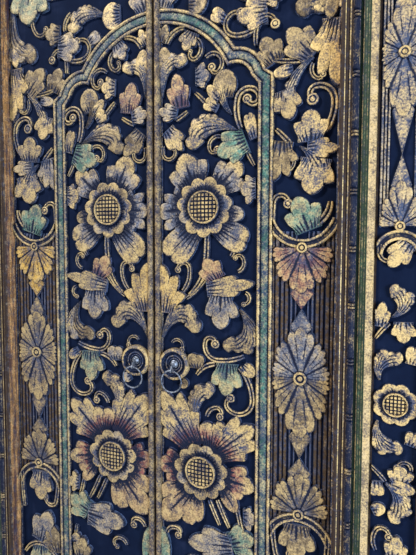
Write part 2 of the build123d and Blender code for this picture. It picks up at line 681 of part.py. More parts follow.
def head_frieze():
    """The plain frieze over the door, between the jambs' strips."""
    reach = OPEN_HALF + STRIP_TO - SEAT
    return frieze_board(-reach, reach, OPEN_TOP + STRIP_FROM + SEAT, OPEN_TOP + STRIP_TO - SEAT)


# Every piece as it is on the right; those of a pair are mirrored for the left
PAIRS = {
    "jamb": jamb(),
    "jamb_bead_and_reel": reel_moulding(),
    "jamb_carved_strip": carved_frieze(),
    "leaf_carved": carved_leaf(),
    "meeting_bead": meeting_bead(),
    "ring_boss": ring_boss(),
    "ring_eye": ring_eye(),
    "pull_ring": pull_ring(),
}
SINGLES = {
    "head": head(),
    "head_round_moulding": head_round(),
    "head_frieze": head_frieze(),
    "sill": sill(),
}

for name, solid in SINGLES.items():
    export_step(solid, f"parts/{name}.step")
for name, solid in PAIRS.items():
    export_step(solid, f"parts/{name}_right.step")
    export_step(solid.mirror(Plane.YZ), f"parts/{name}_left.step")
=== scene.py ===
import math
import random

import bmesh
import bpy
import numpy as np
from mathutils import Matrix, Vector


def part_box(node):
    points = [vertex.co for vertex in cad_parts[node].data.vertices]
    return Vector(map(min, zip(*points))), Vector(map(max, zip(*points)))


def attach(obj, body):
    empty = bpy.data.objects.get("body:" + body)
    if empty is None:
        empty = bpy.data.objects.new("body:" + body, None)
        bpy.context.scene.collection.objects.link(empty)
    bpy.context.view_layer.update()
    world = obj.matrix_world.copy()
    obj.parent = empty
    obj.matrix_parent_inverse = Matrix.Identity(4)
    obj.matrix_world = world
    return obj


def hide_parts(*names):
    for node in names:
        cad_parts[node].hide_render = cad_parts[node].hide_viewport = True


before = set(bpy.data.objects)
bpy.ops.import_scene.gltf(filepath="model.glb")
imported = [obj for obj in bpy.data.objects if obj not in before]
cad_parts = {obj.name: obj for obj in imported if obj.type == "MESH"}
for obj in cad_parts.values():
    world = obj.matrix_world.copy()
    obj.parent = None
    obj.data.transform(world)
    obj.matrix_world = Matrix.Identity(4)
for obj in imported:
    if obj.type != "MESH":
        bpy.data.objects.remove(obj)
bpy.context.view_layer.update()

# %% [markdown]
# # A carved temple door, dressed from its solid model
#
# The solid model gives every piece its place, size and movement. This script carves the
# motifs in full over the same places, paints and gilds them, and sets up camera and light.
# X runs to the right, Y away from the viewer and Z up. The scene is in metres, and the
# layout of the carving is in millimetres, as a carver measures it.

MM = 0.001
SIDES = {"left": -1, "right": 1}

# %% [markdown]
# ## Paint, gilding and wear
#
# The door is painted a dark blue-black, then brushed with gold so that only what stands
# out is covered, with thin washes of green, blue and red here and there. A picture could
# hold all this, but it would have to be unwrapped and painted. Here each carved point
# carries two attributes instead: `tone` says how gilded, exposed and washed it is, and
# `tint` gives the colour of the wash. The exposure also paints shade into the hollows and
# along the edges and highlights onto the crests, and the walls carry a painted cool
# highlight. Two node groups turn them into colour, roughness and bumps, and a few helpers
# keep the node trees short.

# %% Helpers for nodes
# The inputs of a Mix node of colours for share, first and second colour, and its output
MIX_IN, MIX_OUT = (0, 6, 7), 2


def socket(tree, name, kind, way, default=None):
    made = tree.interface.new_socket(name=name, in_out=way, socket_type=kind)
    if default is not None:
        made.default_value = default


def node(tree, kind, **values):
    made = tree.nodes.new(kind)
    for key, value in values.items():
        setattr(made, key, value)
    return made


def feed(tree, made, place, value):
    """Sets an input to a number or a colour, or links it to another node's output."""
    if isinstance(value, (int, float)):
        made.inputs[place].default_value = value
    elif isinstance(value, tuple):
        made.inputs[place].default_value = (*value, 1.0)
    else:
        tree.links.new(value, made.inputs[place])


def math_node(tree, operation, a, b=None, clamp=False):
    made = node(tree, "ShaderNodeMath", operation=operation, use_clamp=clamp)
    feed(tree, made, 0, a)
    if b is not None:
        feed(tree, made, 1, b)
    return made.outputs[0]


def plus(tree, a, b):
    return math_node(tree, "ADD", a, b)


def minus(tree, a, b):
    return math_node(tree, "SUBTRACT", a, b)


def times(tree, a, b):
    return math_node(tree, "MULTIPLY", a, b)


def mix_colour(tree, share, first, second, blend="MIX"):
    made = node(tree, "ShaderNodeMix", data_type="RGBA", blend_type=blend, clamp_factor=True)
    for place, value in zip(MIX_IN, (share, first, second)):
        feed(tree, made, place, value)
    return made.outputs[MIX_OUT]


def stretch(tree, value, low, high):
    """A smooth step from 0 at low to 1 at high."""
    made = node(tree, "ShaderNodeMapRange", interpolation_type="SMOOTHSTEP")
    for place, given in enumerate((value, low, high)):
        feed(tree, made, place, given)
    return made.outputs[0]


# %% Patterns in the piece's own coordinates
def noise(tree, scale, detail, rough=0.55, squeeze=(1.0, 1.0, 1.0)):
    """Noise that can be squeezed along an axis for grain."""
    coords = node(tree, "ShaderNodeTexCoord")
    mapping = node(tree, "ShaderNodeMapping")
    mapping.inputs["Scale"].default_value = squeeze
    made = node(tree, "ShaderNodeTexNoise")
    made.inputs["Scale"].default_value = scale
    made.inputs["Detail"].default_value = detail
    made.inputs["Roughness"].default_value = rough
    tree.links.new(coords.outputs["Object"], mapping.inputs["Vector"])
    tree.links.new(mapping.outputs[0], made.inputs["Vector"])
    return made.outputs["Fac"]


def object_axes(tree):
    """X, Y and Z in metres, which are the model's own because no piece is moved."""
    coords = node(tree, "ShaderNodeTexCoord")
    axes = node(tree, "ShaderNodeSeparateXYZ")
    tree.links.new(coords.outputs["Object"], axes.inputs[0])
    return axes.outputs[:3]


# %% [markdown]
# ### The gilding group
#
# Gold sticks to what is exposed, and the hollows are darker, partly for their dark paint and
# partly as painted shade. Speckles of the dark paint show through the gold, more of them where
# the gold is thin, and a cool grey lies on the shoulders between the two, partly worn paint
# and partly a painted bluish sheen. The gold on the left of the door is darker than on the
# right, as painted shade. Every gilded material needs this, so it is a node group with named
# inputs, built once.

# %% Node group: gilding
# Each from dark to light: paint in the hollows, worn paint with a painted bluish sheen, gold, shade
# on a wash, and painted shade across the door
PAINT = (0.0022, 0.0050, 0.0190), (0.0056, 0.0115, 0.0380)
WORN_AND_SHEEN = (0.022, 0.040, 0.108), (0.082, 0.112, 0.200)
GOLD = (0.185, 0.125, 0.066), (0.665, 0.480, 0.215)
SHADE = (0.5, 0.5, 0.5), (1.3, 1.3, 1.3)
PAINTED_SIDE_SHADE = (0.84, 0.87, 0.96), (1.10, 1.10, 1.08)
# Between these places across the door the painted shade on the left thins out
SIDE_SHADE_FROM, SIDE_SHADE_TO = -0.32, 0.62


def make_gilding():
    tree = bpy.data.node_groups.new("gilding", "ShaderNodeTree")
    socket(tree, "Gilt", "NodeSocketFloat", "INPUT", 0.8)
    socket(tree, "Exposed", "NodeSocketFloat", "INPUT", 0.8)
    socket(tree, "Tint", "NodeSocketColor", "INPUT", (0.3, 0.3, 0.3, 1))
    socket(tree, "Wash", "NodeSocketFloat", "INPUT", 0.0)
    socket(tree, "Colour", "NodeSocketColor", "OUTPUT")
    socket(tree, "Roughness", "NodeSocketFloat", "OUTPUT")
    socket(tree, "Metallic", "NodeSocketFloat", "OUTPUT")
    socket(tree, "Height", "NodeSocketFloat", "OUTPUT")
    given = node(tree, "NodeGroupInput")
    out = node(tree, "NodeGroupOutput")
    gilt, exposed, tint, strength = given.outputs[:4]

    fine = noise(tree, 260.0, 4.0, 0.65)
    patchy = noise(tree, 34.0, 4.0, 0.6)
    broad = noise(tree, 9.0, 2.0, 0.5)
    speckle = times(tree, minus(tree, fine, 0.5), 1.5)
    cloudy = times(tree, minus(tree, patchy, 0.5), 1.5)
    cover = plus(tree, plus(tree, times(tree, gilt, exposed), cloudy), speckle)
    leaf = stretch(tree, cover, 0.26, 1.06)
    # Where exposed, the dark paint gives way to a cool grey, partly worn paint and partly a painted
    # bluish sheen
    worn_and_sheen_share = stretch(tree, plus(tree, exposed, speckle), 0.35, 1.0)
    flecks = stretch(tree, noise(tree, 75.0, 4.0, 0.65), 0.40, 0.60)
    flecked = plus(tree, times(tree, flecks, 0.75), 0.55)
    wash = math_node(tree, "MULTIPLY", strength, flecked, clamp=True)

    paint = mix_colour(tree, broad, *PAINT)
    # Worn paint with a painted bluish sheen on it
    worn = mix_colour(tree, patchy, *WORN_AND_SHEEN)
    stain = mix_colour(tree, 1.0, tint, SHADE[0], "MULTIPLY")
    below = mix_colour(tree, worn_and_sheen_share, paint, mix_colour(tree, wash, worn, stain))
    mottle = plus(tree, times(tree, fine, 0.6), times(tree, patchy, 0.4))
    mottle = stretch(tree, mottle, 0.38, 0.60)
    tinted = mix_colour(tree, 1.0, tint, mix_colour(tree, mottle, *SHADE), "MULTIPLY")
    gold = mix_colour(tree, wash, mix_colour(tree, mottle, *GOLD), tinted)
    # Painted shade: the gold darkens towards the left of the door
    side_shaded = stretch(tree, object_axes(tree)[0], SIDE_SHADE_FROM, SIDE_SHADE_TO)
    gold = mix_colour(tree, 1.0, gold, mix_colour(tree, side_shaded, *PAINTED_SIDE_SHADE), "MULTIPLY")

    colour = mix_colour(tree, leaf, below, gold)
    rough = minus(tree, 0.62, times(tree, leaf, 0.16))
    unwashed = math_node(tree, "SUBTRACT", 1.0, wash, clamp=True)
    metal = times(tree, times(tree, leaf, unwashed), 0.16)
    for place, value in enumerate((colour, rough, metal, plus(tree, fine, patchy))):
        tree.links.new(value, out.inputs[place])
    return tree


GILDING = make_gilding()
print("node group:", GILDING.name, "with", len(GILDING.nodes), "nodes")

# %% [markdown]
# ### The grain group
#
# The planks are brushed and tooled along their length. Noise that is squeezed along Z gives
# long streaks, which later catch the dust and raise fine bumps.


# %% Node group: wood grain
def make_grain():
    tree = bpy.data.node_groups.new("grain", "ShaderNodeTree")
    socket(tree, "Grain", "NodeSocketFloat", "OUTPUT")
    out = node(tree, "NodeGroupOutput")
    tree.links.new(noise(tree, 60.0, 5.0, 0.6, (1.0, 1.0, 0.06)), out.inputs[0])
    return tree


GRAIN = make_grain()
print("node group:", GRAIN.name, "with", len(GRAIN.nodes), "nodes")

# %% [markdown]
# ### The material of the carving
#
# One material serves all the carving, because what differs from point to point is in the
# attributes. The shader itself stays in the material, outside the group.


# %% Materials that use the groups
def new_material(name):
    made = bpy.data.materials.new(name)
    made.use_nodes = True
    tree = made.node_tree
    return made, tree, tree.nodes["Principled BSDF"]


def use_group(tree, group):
    made = node(tree, "ShaderNodeGroup")
    made.node_tree = group
    return made


def bump(tree, shader, height, strength, distance):
    made = node(tree, "ShaderNodeBump")
    made.inputs["Strength"].default_value = strength
    made.inputs["Distance"].default_value = distance
    tree.links.new(height, made.inputs["Height"])
    tree.links.new(made.outputs[0], shader.inputs["Normal"])


def gild(tree, shader, gilding, specular=0.15, strength=0.35, height=None):
    """Leads what the gilding group puts out to the shader; its bumps may be other ones."""
    for place, name in enumerate(("Base Color", "Roughness", "Metallic")):
        tree.links.new(gilding.outputs[place], shader.inputs[name])
    shader.inputs["Specular IOR Level"].default_value = specular
    height = gilding.outputs["Height"] if height is None else height
    bump(tree, shader, height, strength, 0.0006)


def carved_material():
    """Reads the tone and tint that each carved point carries."""
    made, tree, shader = new_material("carved_gilding")
    tone = node(tree, "ShaderNodeAttribute", attribute_name="tone")
    tint = node(tree, "ShaderNodeAttribute", attribute_name="tint")
    parts = node(tree, "ShaderNodeSeparateColor")
    tree.links.new(tone.outputs["Color"], parts.inputs[0])
    gilt, exposed, strength = parts.outputs[:3]
    gilding = use_group(tree, GILDING)
    for place, value in enumerate((gilt, exposed, tint.outputs["Color"], strength)):
        tree.links.new(value, gilding.inputs[place])
    gild(tree, shader, gilding, 0.20, 0.45)
    return made


CARVED = carved_material()
print("material of the carving:", CARVED.name)

# %% [markdown]
# ## Carving
#
# A carver sinks the ground of the board and leaves the motifs standing. Sculpting them
# by hand would take days and give one door only. Here a motif is a grid of points over the
# ground, raised to its form by a formula, with walls down into the board and a closed back.
# A few kinds make up the whole door: fans (leaves and petals), bands (scrolls and stalks),
# plumes, sprays (the diamonds), straps (reeds and rims) and turned forms (buds, eyes and
# discs). Each is drawn on the right and mirrored for the left.

# %% Washes: thin colours over gold and worn paint, and the wash that isn't there
WASHES = {
    "plain": (0.40, 0.27, 0.11), "green": (0.115, 0.225, 0.175), "rose": (0.22, 0.075, 0.068),
    "blue": (0.115, 0.145, 0.225), "amber": (0.62, 0.36, 0.06), "teal": (0.07, 0.19, 0.16),
    "brown": (0.15, 0.095, 0.050), "umber": (0.165, 0.118, 0.070),
    "copper": (0.33, 0.195, 0.105),
}
PLAIN = ("plain", 0.0)
print("washes:", ", ".join(WASHES))

# %% The carver
# Edges of a leaf's carved field, and the height where its arch springs, in millimetres
EDGE_IN, EDGE_OUT, ARCH_FOOT = 17.5, 449.0, 1716.0
# A painted cool highlight on the walls of the motifs, for the bluish light that catches them
WALL_SHEEN_TINT, WALL_SHEEN_TONE = (0.20, 0.32, 0.66), (0.0, 0.80, 1.0)
# The foot of a wall spreads by a share of the motif and goes a millimetre into the board
FLARE, SUNK = 0.03, 1.0
# Faces that meet at less than this many degrees are shaded as one
CARVED_SMOOTH = 48


def only(piece):
    """Makes one piece the selected and active one."""
    bpy.ops.object.select_all(action="DESELECT")
    piece.select_set(True)
    bpy.context.view_layer.objects.active = piece


def rim_cells(rows, columns):
    """The cells round the rim of a grid, in order."""
    loop = [(i, 0) for i in range(rows)]
    loop += [(rows - 1, j) for j in range(1, columns)]
    loop += [(i, columns - 1) for i in range(rows - 2, -1, -1)]
    loop += [(0, j) for j in range(columns - 2, 0, -1)]
    return loop


class Carver:
    """Collects motifs in millimetres and turns them into one mesh."""

    def __init__(self, name, ground, side, seed=0, edges=(EDGE_IN, EDGE_OUT),
                 upright=(0.0, math.inf)):
        self.name, self.ground, self.side = name, ground, side
        self.edges, self.upright = edges, upright
        self.random = random.Random(seed)
        self.points, self.faces, self.tones, self.tints = [], [], [], []

    def add(self, x, z, height, gilt, exposed, wash):
        """One closed patch from a grid of places, with its heights and tones spread over it."""
        name, strength = wash
        x = x * self.side
        z, height, gilt, exposed, strength = (
            np.broadcast_to(value, x.shape) for value in (z, height, gilt, exposed, strength))
        rows, columns = x.shape
        loop = rim_cells(rows, columns)
        area = sum(x[a] * z[b] - x[b] * z[a] for a, b in zip(loop, loop[1:] + loop[:1]))
        turn = 1 if area > 0 else -1
        start = len(self.points)
        places = np.stack([x, self.ground - height, z], axis=-1)
        self.points += places.reshape(-1, 3).tolist()
        self.tones += np.stack([gilt, exposed, strength], axis=-1).reshape(-1, 3).tolist()
        self.tints += [WASHES[name]] * (rows * columns)

        def at(cell):
            return start + cell[0] * columns + cell[1]

        for i in range(rows - 1):
            for j in range(columns - 1):
                ring = [(i, j), (i + 1, j), (i + 1, j + 1), (i, j + 1)]
                self.faces.append([at(cell) for cell in ring[::turn]])
        foot, count = len(self.points), len(loop)
        mid_x, mid_z = x.mean(), z.mean()
        for cell in loop:
            self.points.append((
                x[cell] + FLARE * (x[cell] - mid_x), self.ground + SUNK,
                z[cell] + FLARE * (z[cell] - mid_z)))
        # The walls take the painted cool highlight
        self.tones += [WALL_SHEEN_TONE] * count
        self.tints += [WALL_SHEEN_TINT] * count
        for k in range(count):
            ahead = (k + 1) % count
            wall = [at(loop[k]), foot + k, foot + ahead, at(loop[ahead])]
            self.faces.append(wall[::turn])
        self.faces.append([foot + k for k in range(count)][::-turn])

    def finish(self, body, node_names):
        """The mesh, kept between the field's edges, in its place on a body."""
        mesh = bpy.data.meshes.new(self.name)
        places = np.array(self.points)
        own = np.clip(places[:, 0] * self.side, *self.edges)
        own = np.where(places[:, 2] < ARCH_FOOT, np.clip(own, *self.upright), own)
        places[:, 0] = self.side * own
        mesh.from_pydata((places * MM).tolist(), [], self.faces)
        for name, values in (("tone", self.tones), ("tint", self.tints)):
            layer = mesh.attributes.new(name, "FLOAT_COLOR", "POINT")
            rgba = np.ones((len(values), 4), dtype=np.float32)
            rgba[:, :3] = values
            layer.data.foreach_set("color", rgba.ravel())
        mesh.materials.append(CARVED)
        piece = bpy.data.objects.new(self.name, mesh)
        bpy.context.scene.collection.objects.link(piece)
        only(piece)
        bpy.ops.object.shade_smooth_by_angle(angle=math.radians(CARVED_SMOOTH))
        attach(piece, body)
        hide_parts(*node_names)
        triangles = sum(len(face) - 2 for face in self.faces)
        print(f"{self.name}: {len(self.faces)} faces, {triangles} triangles")


# %% Curves and places that the motifs share
def smooth(low, high, value):
    """A smooth step, as in the node helpers, for grids of points."""
    t = np.clip((value - low) / (high - low), 0.0, 1.0)
    return t * t * (3 - 2 * t)


def ridge(value, middle, spread):
    """A bell that is 1 at its middle and fades over its spread."""
    return np.exp(-((value - middle) / spread) ** 2)


def along(x, z, heading, arcs, shares):
    """Places and headings at shares of a run of tangent arcs, and the run's length."""
    lengths = [radius * math.radians(abs(turn)) for radius, turn in arcs]
    places = []
    for share in shares:
        run = share * sum(lengths)
        px, pz, way = x, z, heading
        for (radius, turn), length in zip(arcs, lengths):
            used = min(run, length)
            part = turn * used / length
            chord = 2 * radius * math.sin(math.radians(abs(part) / 2))
            mid = math.radians(way + part / 2)
            px, pz, way = px + chord * math.cos(mid), pz + chord * math.sin(mid), way + part
            run -= used
        places.append((px, pz, math.radians(way)))
    return np.array(places), sum(lengths)


def beside(path, offset):
    """Places at offsets to the left of a path."""
    return (path[:, 0:1] - offset * np.sin(path[:, 2:3]),
            path[:, 1:2] + offset * np.cos(path[:, 2:3]))


def placed(a, b, x, z, aim):
    """Turns (along, across) to the aim and carries it to x, z."""
    c, s = math.cos(math.radians(aim)), math.sin(math.radians(aim))
    return x + a * c - b * s, z + a * s + b * c


# %% [markdown]
# ### Fans
#
# Leaves and petals are one form on the real door: gouge strokes run up from the foot, each
# lobe is hollowed and ends in a blunt point, and a crease runs in from every notch. The
# grid follows that: q runs round the rim from 0 to 1, r runs from the root to the rim,
# and d grows from 0 at the point of a lobe to 1 in a notch.

# %% Fans: outline
# Rows of points from the root to the rim, closer where the rim turns down
REACH = np.array(
    [0.0, 0.05, 0.11, 0.18, 0.26, 0.34, 0.43, 0.52, 0.61, 0.70, 0.79, 0.88, 0.95, 0.985, 1.0])
# Depth of the notches as a share of the leaf, and the width of one stroke of the gouge
NOTCH, GOUGE = 0.31, 8.5


def lobed(q, lobes, depth, power, lean=0.0):
    """A rim of lobes with blunt points that lean to the tip: its reach, and how near a notch."""
    u = (q * lobes) % 1.0
    u[-1] = 1.0
    place = (np.minimum((q * lobes).astype(int), lobes - 1) + 0.5) / lobes - 0.5
    tip = 0.5 - lean * np.sign(np.round(place, 6))
    d = np.where(u < tip, (tip - u) / tip, (u - tip) / (1 - tip))
    return 1 - depth * d**power, d


def fan_outline(pick, q, length, width, lobes, opening, root, start, depth):
    """Places along and across a leaf, the spread of its ribs from -1 to 1, and d."""
    spread = np.sign(2 * q - 1) * np.abs(2 * q - 1) ** (0.84 if lobes > 2 else 1.0)
    turn = np.radians(opening) * spread
    reach, d = lobed(q, lobes, depth, 1.08, 0.20 if lobes > 2 else 0.0)
    uneven = np.array([1 + 0.08 * pick.uniform(-1, 1) for _ in range(lobes)])
    lobe = np.minimum((q * lobes).astype(int), lobes - 1)
    rim = reach * (uneven[lobe] * (1 - d**4) + d**4) * (1.0 + 0.25 * depth)
    rim_a = length * (0.4 + 0.6 * np.cos(turn) * rim)
    rim_b = width / 2 * np.sin(turn) * rim
    root_b = spread * width * root
    bend_a = start + 0.40 * (length - start) * (1 - 0.55 * np.abs(spread) ** 1.5)
    bend_b = root_b + 0.30 * (rim_b - root_b)
    r = REACH[None, :]
    first, middle, last = (1 - r) ** 2, 2 * r * (1 - r), r**2
    a = first * start + middle * bend_a[:, None] + last * rim_a[:, None]
    b = first * root_b[:, None] + middle * bend_b[:, None] + last * rim_b[:, None]
    return a, b, spread, d


# %% Fans: relief and tones
def strokes_of(pick, q, lobes, strokes, r, start, long, vein):
    """Tapered strokes of the gouge that run out from the root, the middle ones longer."""
    line = 0.5 - 0.5 * np.cos(2 * np.pi * q * lobes * strokes)
    cell = np.minimum((q * lobes * strokes).astype(int), lobes * strokes - 1)
    middle = np.abs(2 * ((cell + 0.5) / strokes % 1.0) - 1)
    uneven = np.array([pick.uniform(-0.07, 0.07) for _ in range(lobes * strokes)])
    ends = long * (0.80 + 0.20 * (1 - middle)) + uneven[cell]
    if vein:
        ends = np.where(np.abs(q - 0.5) * lobes * strokes < 0.5, 0.88, ends)
    ends = ends[:, None]
    taper = line[:, None] ** (1.1 + 5.0 * smooth(0.2, 0.9, r / ends))
    return taper * smooth(start, start + 0.06, r) * (1 - smooth(ends - 0.16, ends, r))


def aged(carver, wash):
    """On the leaves some motifs have gone brown and some grey-blue; the rest keep their gold."""
    if wash[1] > 0 or carver.ground <= 0:
        return wash
    lot = carver.random.random()
    strength = carver.random.uniform(0.35, 0.85)
    return ("umber", strength) if lot < 0.40 else ("blue", 0.6 * strength) if lot < 0.62 else wash


def fan(carver, x, z, aim, length, width, lobes, height, wash=PLAIN, opening=116.0, root=0.37,
        start=0.0, cut=(0.0, 0.58), base_wash=False, vein=False, dome=0.10, hollow=0.0,
        ring=None):
    """A lobed leaf: gouge strokes run up from its foot, and a crease from every notch.

    A petal is given the ring about its flower where it darkens with painted shade: middle,
    radii and strength. Hollow adds painted shade along a fan's sides.
    """
    pick = carver.random
    name, strength = aged(carver, wash)
    strokes = max(2, round(width / lobes / GOUGE))
    strokes += (strokes + 1) % 2 if vein else 0
    depth = NOTCH if lobes > 1 else 0.10 if vein or width > 30 else 0.0
    q = np.linspace(0, 1, 6 * strokes * lobes + 1)
    a, b, spread, d = fan_outline(pick, q, length, width, lobes, opening, root, start, depth)
    r = REACH[None, :]

    stroke = strokes_of(pick, q, lobes, strokes, r, *cut, vein)
    between = (q > 0.4 / lobes) & (q < 1 - 0.4 / lobes)
    crease = (ridge(d, 1.0, 0.09) * between)[:, None] * smooth(0.60, 0.95, r)
    side = smooth(0.90, 1.0, np.abs(spread))[:, None] * smooth(0.1, 0.4, r)
    edge = smooth(0.96, 1.0, r)
    crest = ridge(r, 0.93, 0.05)
    scoop = ridge(r, 0.70, 0.17) * (1 - d[:, None] ** 2)
    swell = 0.70 + 0.30 * smooth(0.0, 0.60, r)
    lift = pick.uniform(-0.9, 0.6)
    body = (height - 0.4 + lift) * swell * (1 - dome * d[:, None] ** 2 * smooth(0.3, 0.9, r))
    body = body - 1.9 * stroke - 1.4 * crease - 0.9 * edge - 1.0 * side - 1.3 * scoop
    # Strokes and creases keep the dark paint of their hollows, deepened with painted shade; the
    # dark edge and the darker sides are painted shade, and the crest is a painted highlight
    exposed = 1.0 - stroke - 0.70 * crease - 0.55 * edge - (0.4 + hollow) * side + 0.16 * crest
    # Less gold at the foot, thinner gold there and also painted shade towards the root; more on the
    # crest as a painted highlight
    foot = pick.uniform(0.34, 0.50)
    gilt = foot + (pick.uniform(0.82, 1.02) - foot) * smooth(cut[0], cut[1] + 0.12, r)
    gilt = gilt + 0.14 * crest - 0.10 * scoop

    fade = 1 - 0.30 * smooth(0.55, 1.0, r)
    px, pz = placed(a, b, x, z, aim)
    # Painted shade on the petals round the raised disc and wreath
    if ring:
        mid_x, mid_z, inner, outer, dark = ring
        far = np.hypot(px - mid_x, pz - mid_z)
        exposed = exposed - dark * (1 - smooth(inner, outer, far))
        if base_wash:
            fade = 1 - smooth(outer - 8, outer + 26, far)
    carver.add(px, pz, body, gilt, exposed, (name, strength * fade))


# %% [markdown]
# ### Turned forms and bands
#
# Buds, eyes and discs are round, so a profile is turned about their middle. A scroll or a
# stalk is a strap of two ridges with a groove between them. It follows a run of arcs, as a
# carver lays it out with a pair of compasses, and often rolls up into a bud.


# %% Turned forms
def round_motif(carver, x, z, radius, profile, sides, wash=PLAIN):
    """A turned form: rows of (share of the radius, height, gilt, exposed) from the middle."""
    x = x * carver.side
    start = len(carver.points)
    name, strength = wash
    (_, height, gilt, exposed), *rows = profile
    carver.points.append((x, carver.ground - height, z))
    carver.tones.append((gilt, exposed, strength))
    rings = [(share * radius, *rest) for share, *rest in rows]
    rings.append((rings[-1][0] + 0.4, -SUNK, 0.0, 0.0))
    for far, height, gilt, exposed in rings:
        for k in range(sides):
            turn = 2 * math.pi * k / sides
            carver.points.append((
                x + far * math.cos(turn), carver.ground - height, z + far * math.sin(turn)))
            carver.tones.append((gilt, exposed, strength))
    carver.tints += [WASHES[name]] * (1 + sides * len(rings))
    for k in range(sides):
        ahead = (k + 1) % sides
        carver.faces.append([start, start + 1 + k, start + 1 + ahead])
        for ring in range(len(rings) - 1):
            low = start + 1 + ring * sides
            high = low + sides
            carver.faces.append([low + k, high + k, high + ahead, low + ahead])
    last = start + 1 + (len(rings) - 1) * sides
    carver.faces.append([last + k for k in range(sides)][::-1])


def bud(carver, x, z, radius, height, wash):
    """A round bud with a groove round its crown."""
    round_motif(carver, x, z, radius, [
        (0, height, 0.85, 1.0), (0.34, height - 0.3, 0.85, 1.0),
        (0.44, height - 1.6, 0.2, 0.1), (0.54, height - 1.4, 0.2, 0.2),
        (0.66, height - 0.4, 0.9, 1.0), (0.84, height - 0.9, 0.9, 1.0),
        (0.96, height - 2.8, 0.5, 0.5), (1, height - 5.2, 0.1, 0.1)], 18, wash)


# %% Bands: scrolls and stalks
# Across a band from -1 to 1: places, share of its height, and how exposed it is
BAND_ACROSS = np.array([-1.0, -0.86, -0.58, -0.30, -0.14, 0.14, 0.30, 0.58, 0.86, 1.0])
BAND_HEIGHT = np.array([0.55, 0.90, 1.00, 0.84, 0.42, 0.42, 0.84, 1.00, 0.90, 0.55])
BAND_SHOWN = np.array([0.30, 0.95, 1.15, 0.80, 0.00, 0.00, 0.80, 1.15, 0.95, 0.30])


def band(carver, x, z, heading, arcs, wide, bulb, height, wash):
    """A strap of two ridges along its arcs, rolled up into a bud or drawn out to a point."""
    _, run = along(x, z, heading, arcs, [1.0])
    shares = np.linspace(0, 1, max(10, int(run / 4.5)))
    path, _ = along(x, z, heading, arcs, shares)
    half = wide / 2 * (1.55 - 0.32 * shares) * (0.80 + 0.20 * smooth(0.0, 0.16, shares))
    if not bulb:
        half = half * (0.80 + 0.20 * (1 - smooth(0.80, 1.0, shares)))
    px, pz = beside(path, BAND_ACROSS[None, :] * half[:, None])
    lift = carver.random.uniform(-0.5, 0.6)
    body = (height + lift) * BAND_HEIGHT[None, :] * (0.82 + 0.18 * shares)[:, None]
    carver.add(px, pz, body, (0.58 + 0.36 * shares)[:, None], BAND_SHOWN[None, :], wash)
    if bulb:
        end_x, end_z, way = path[-1]
        bud(carver, end_x + 0.4 * bulb * math.cos(way), end_z + 0.4 * bulb * math.sin(way),
            bulb * 1.30, height + 1.0, wash)


# %% [markdown]
# ### Plumes
#
# A plume is a swept leaf: it widens along its arcs to a round head, and its grooves flow
# with it. A large one parts into two or three blades. The first curls along the arcs, and
# the others are the same form again, shorter and straighter.

# %% Plumes: swept leaves with flowing grooves
PLUME_ACROSS = np.linspace(-1, 1, 17)
# Blades of a plume: turn, length and width as shares of its own, and the notch in its rim
BLADES = [(1.0, 1.0, 0.66, 0.30), (0.50, 0.84, 0.56, 0.26), (0.12, 0.62, 0.42, 0.18)]


def blade(carver, x, z, heading, arcs, stem, wide, height, wash, notch):
    """One swept leaf: t runs along it from 0 to 1, and w across it from -1 to 1."""
    side = -1 if arcs[-1][1] > 0 else 1
    _, run = along(x, z, heading, arcs, [1.0])
    t = 1 - (1 - np.linspace(0, 1, max(18, int(run / 3.6)))) ** 1.5
    path, _ = along(x, z, heading, arcs, t)
    half = (stem + (wide - stem) * smooth(0.10, 0.82, t)) / 2
    tip = min(0.9, 0.55 * wide / run)
    half = half * np.sqrt(np.clip(1 - np.clip((t - 1 + tip) / tip, 0, 1) ** 2, 0.006, 1))
    half = half * (0.40 + 0.60 * smooth(0.0, 0.15, t))
    w = PLUME_ACROSS[None, :]
    outer = ridge(t, 0.62, 0.045) + ridge(t, 0.82, 0.040)
    inner = 0.7 * ridge(t, 0.73, 0.045)
    bite = notch * np.where(w * side > 0, outer[:, None], inner[:, None])
    px, pz = beside(path, w * half[:, None] * (1 - bite))
    flow = (0.5 + 0.5 * np.cos(4 * np.pi * w)) ** 2 * (np.abs(w) < 0.9)
    flow = flow * (1 - smooth(0.66, 0.96, t))[:, None]
    near = smooth(0.2, 0.95, np.abs(w)) * bite / 0.34
    crown = 0.70 + 0.30 * np.cos(w * np.pi / 2) ** 0.7
    body = height * crown * (0.74 + 0.26 * smooth(0.0, 0.6, t))[:, None]
    body = body - 1.9 * flow - 1.6 * near
    # Flow grooves and notches keep the dark paint, deepened with painted shade, and the outer edge
    # is darkened as painted shade
    shown = 1.0 - 0.95 * flow - 0.75 * near - 0.35 * (np.abs(w) > 0.97)
    gilt = 0.46 + 0.42 * smooth(0.2, 0.8, t)[:, None]
    carver.add(px, pz, body, gilt, shown, aged(carver, wash))


def plume(carver, x, z, heading, arcs, stem, wide, lobes, height, wash):
    """Blades that part from one root, the lowest one first."""
    pick = carver.random
    for k, (turn, length, width, notch) in reversed(list(enumerate(BLADES[:lobes]))):
        bent = [(radius * length / turn, angle * turn) for radius, angle in arcs]
        swing = heading + pick.uniform(-2, 2)
        tall = height - 0.9 * k + pick.uniform(-0.3, 0.5)
        blade(carver, x, z, swing, bent, stem, width * wide, tall, wash, notch)


# %% [markdown]
# ### Sprays
#
# The diamonds of the upright strips are sprays, two foot to foot about a turned eye: broad
# fingers with scalloped ends, over a small lozenge that fills the point.

# %% Sprays: the halves of the diamonds
FINGERS, SCALLOPS = 5, 3


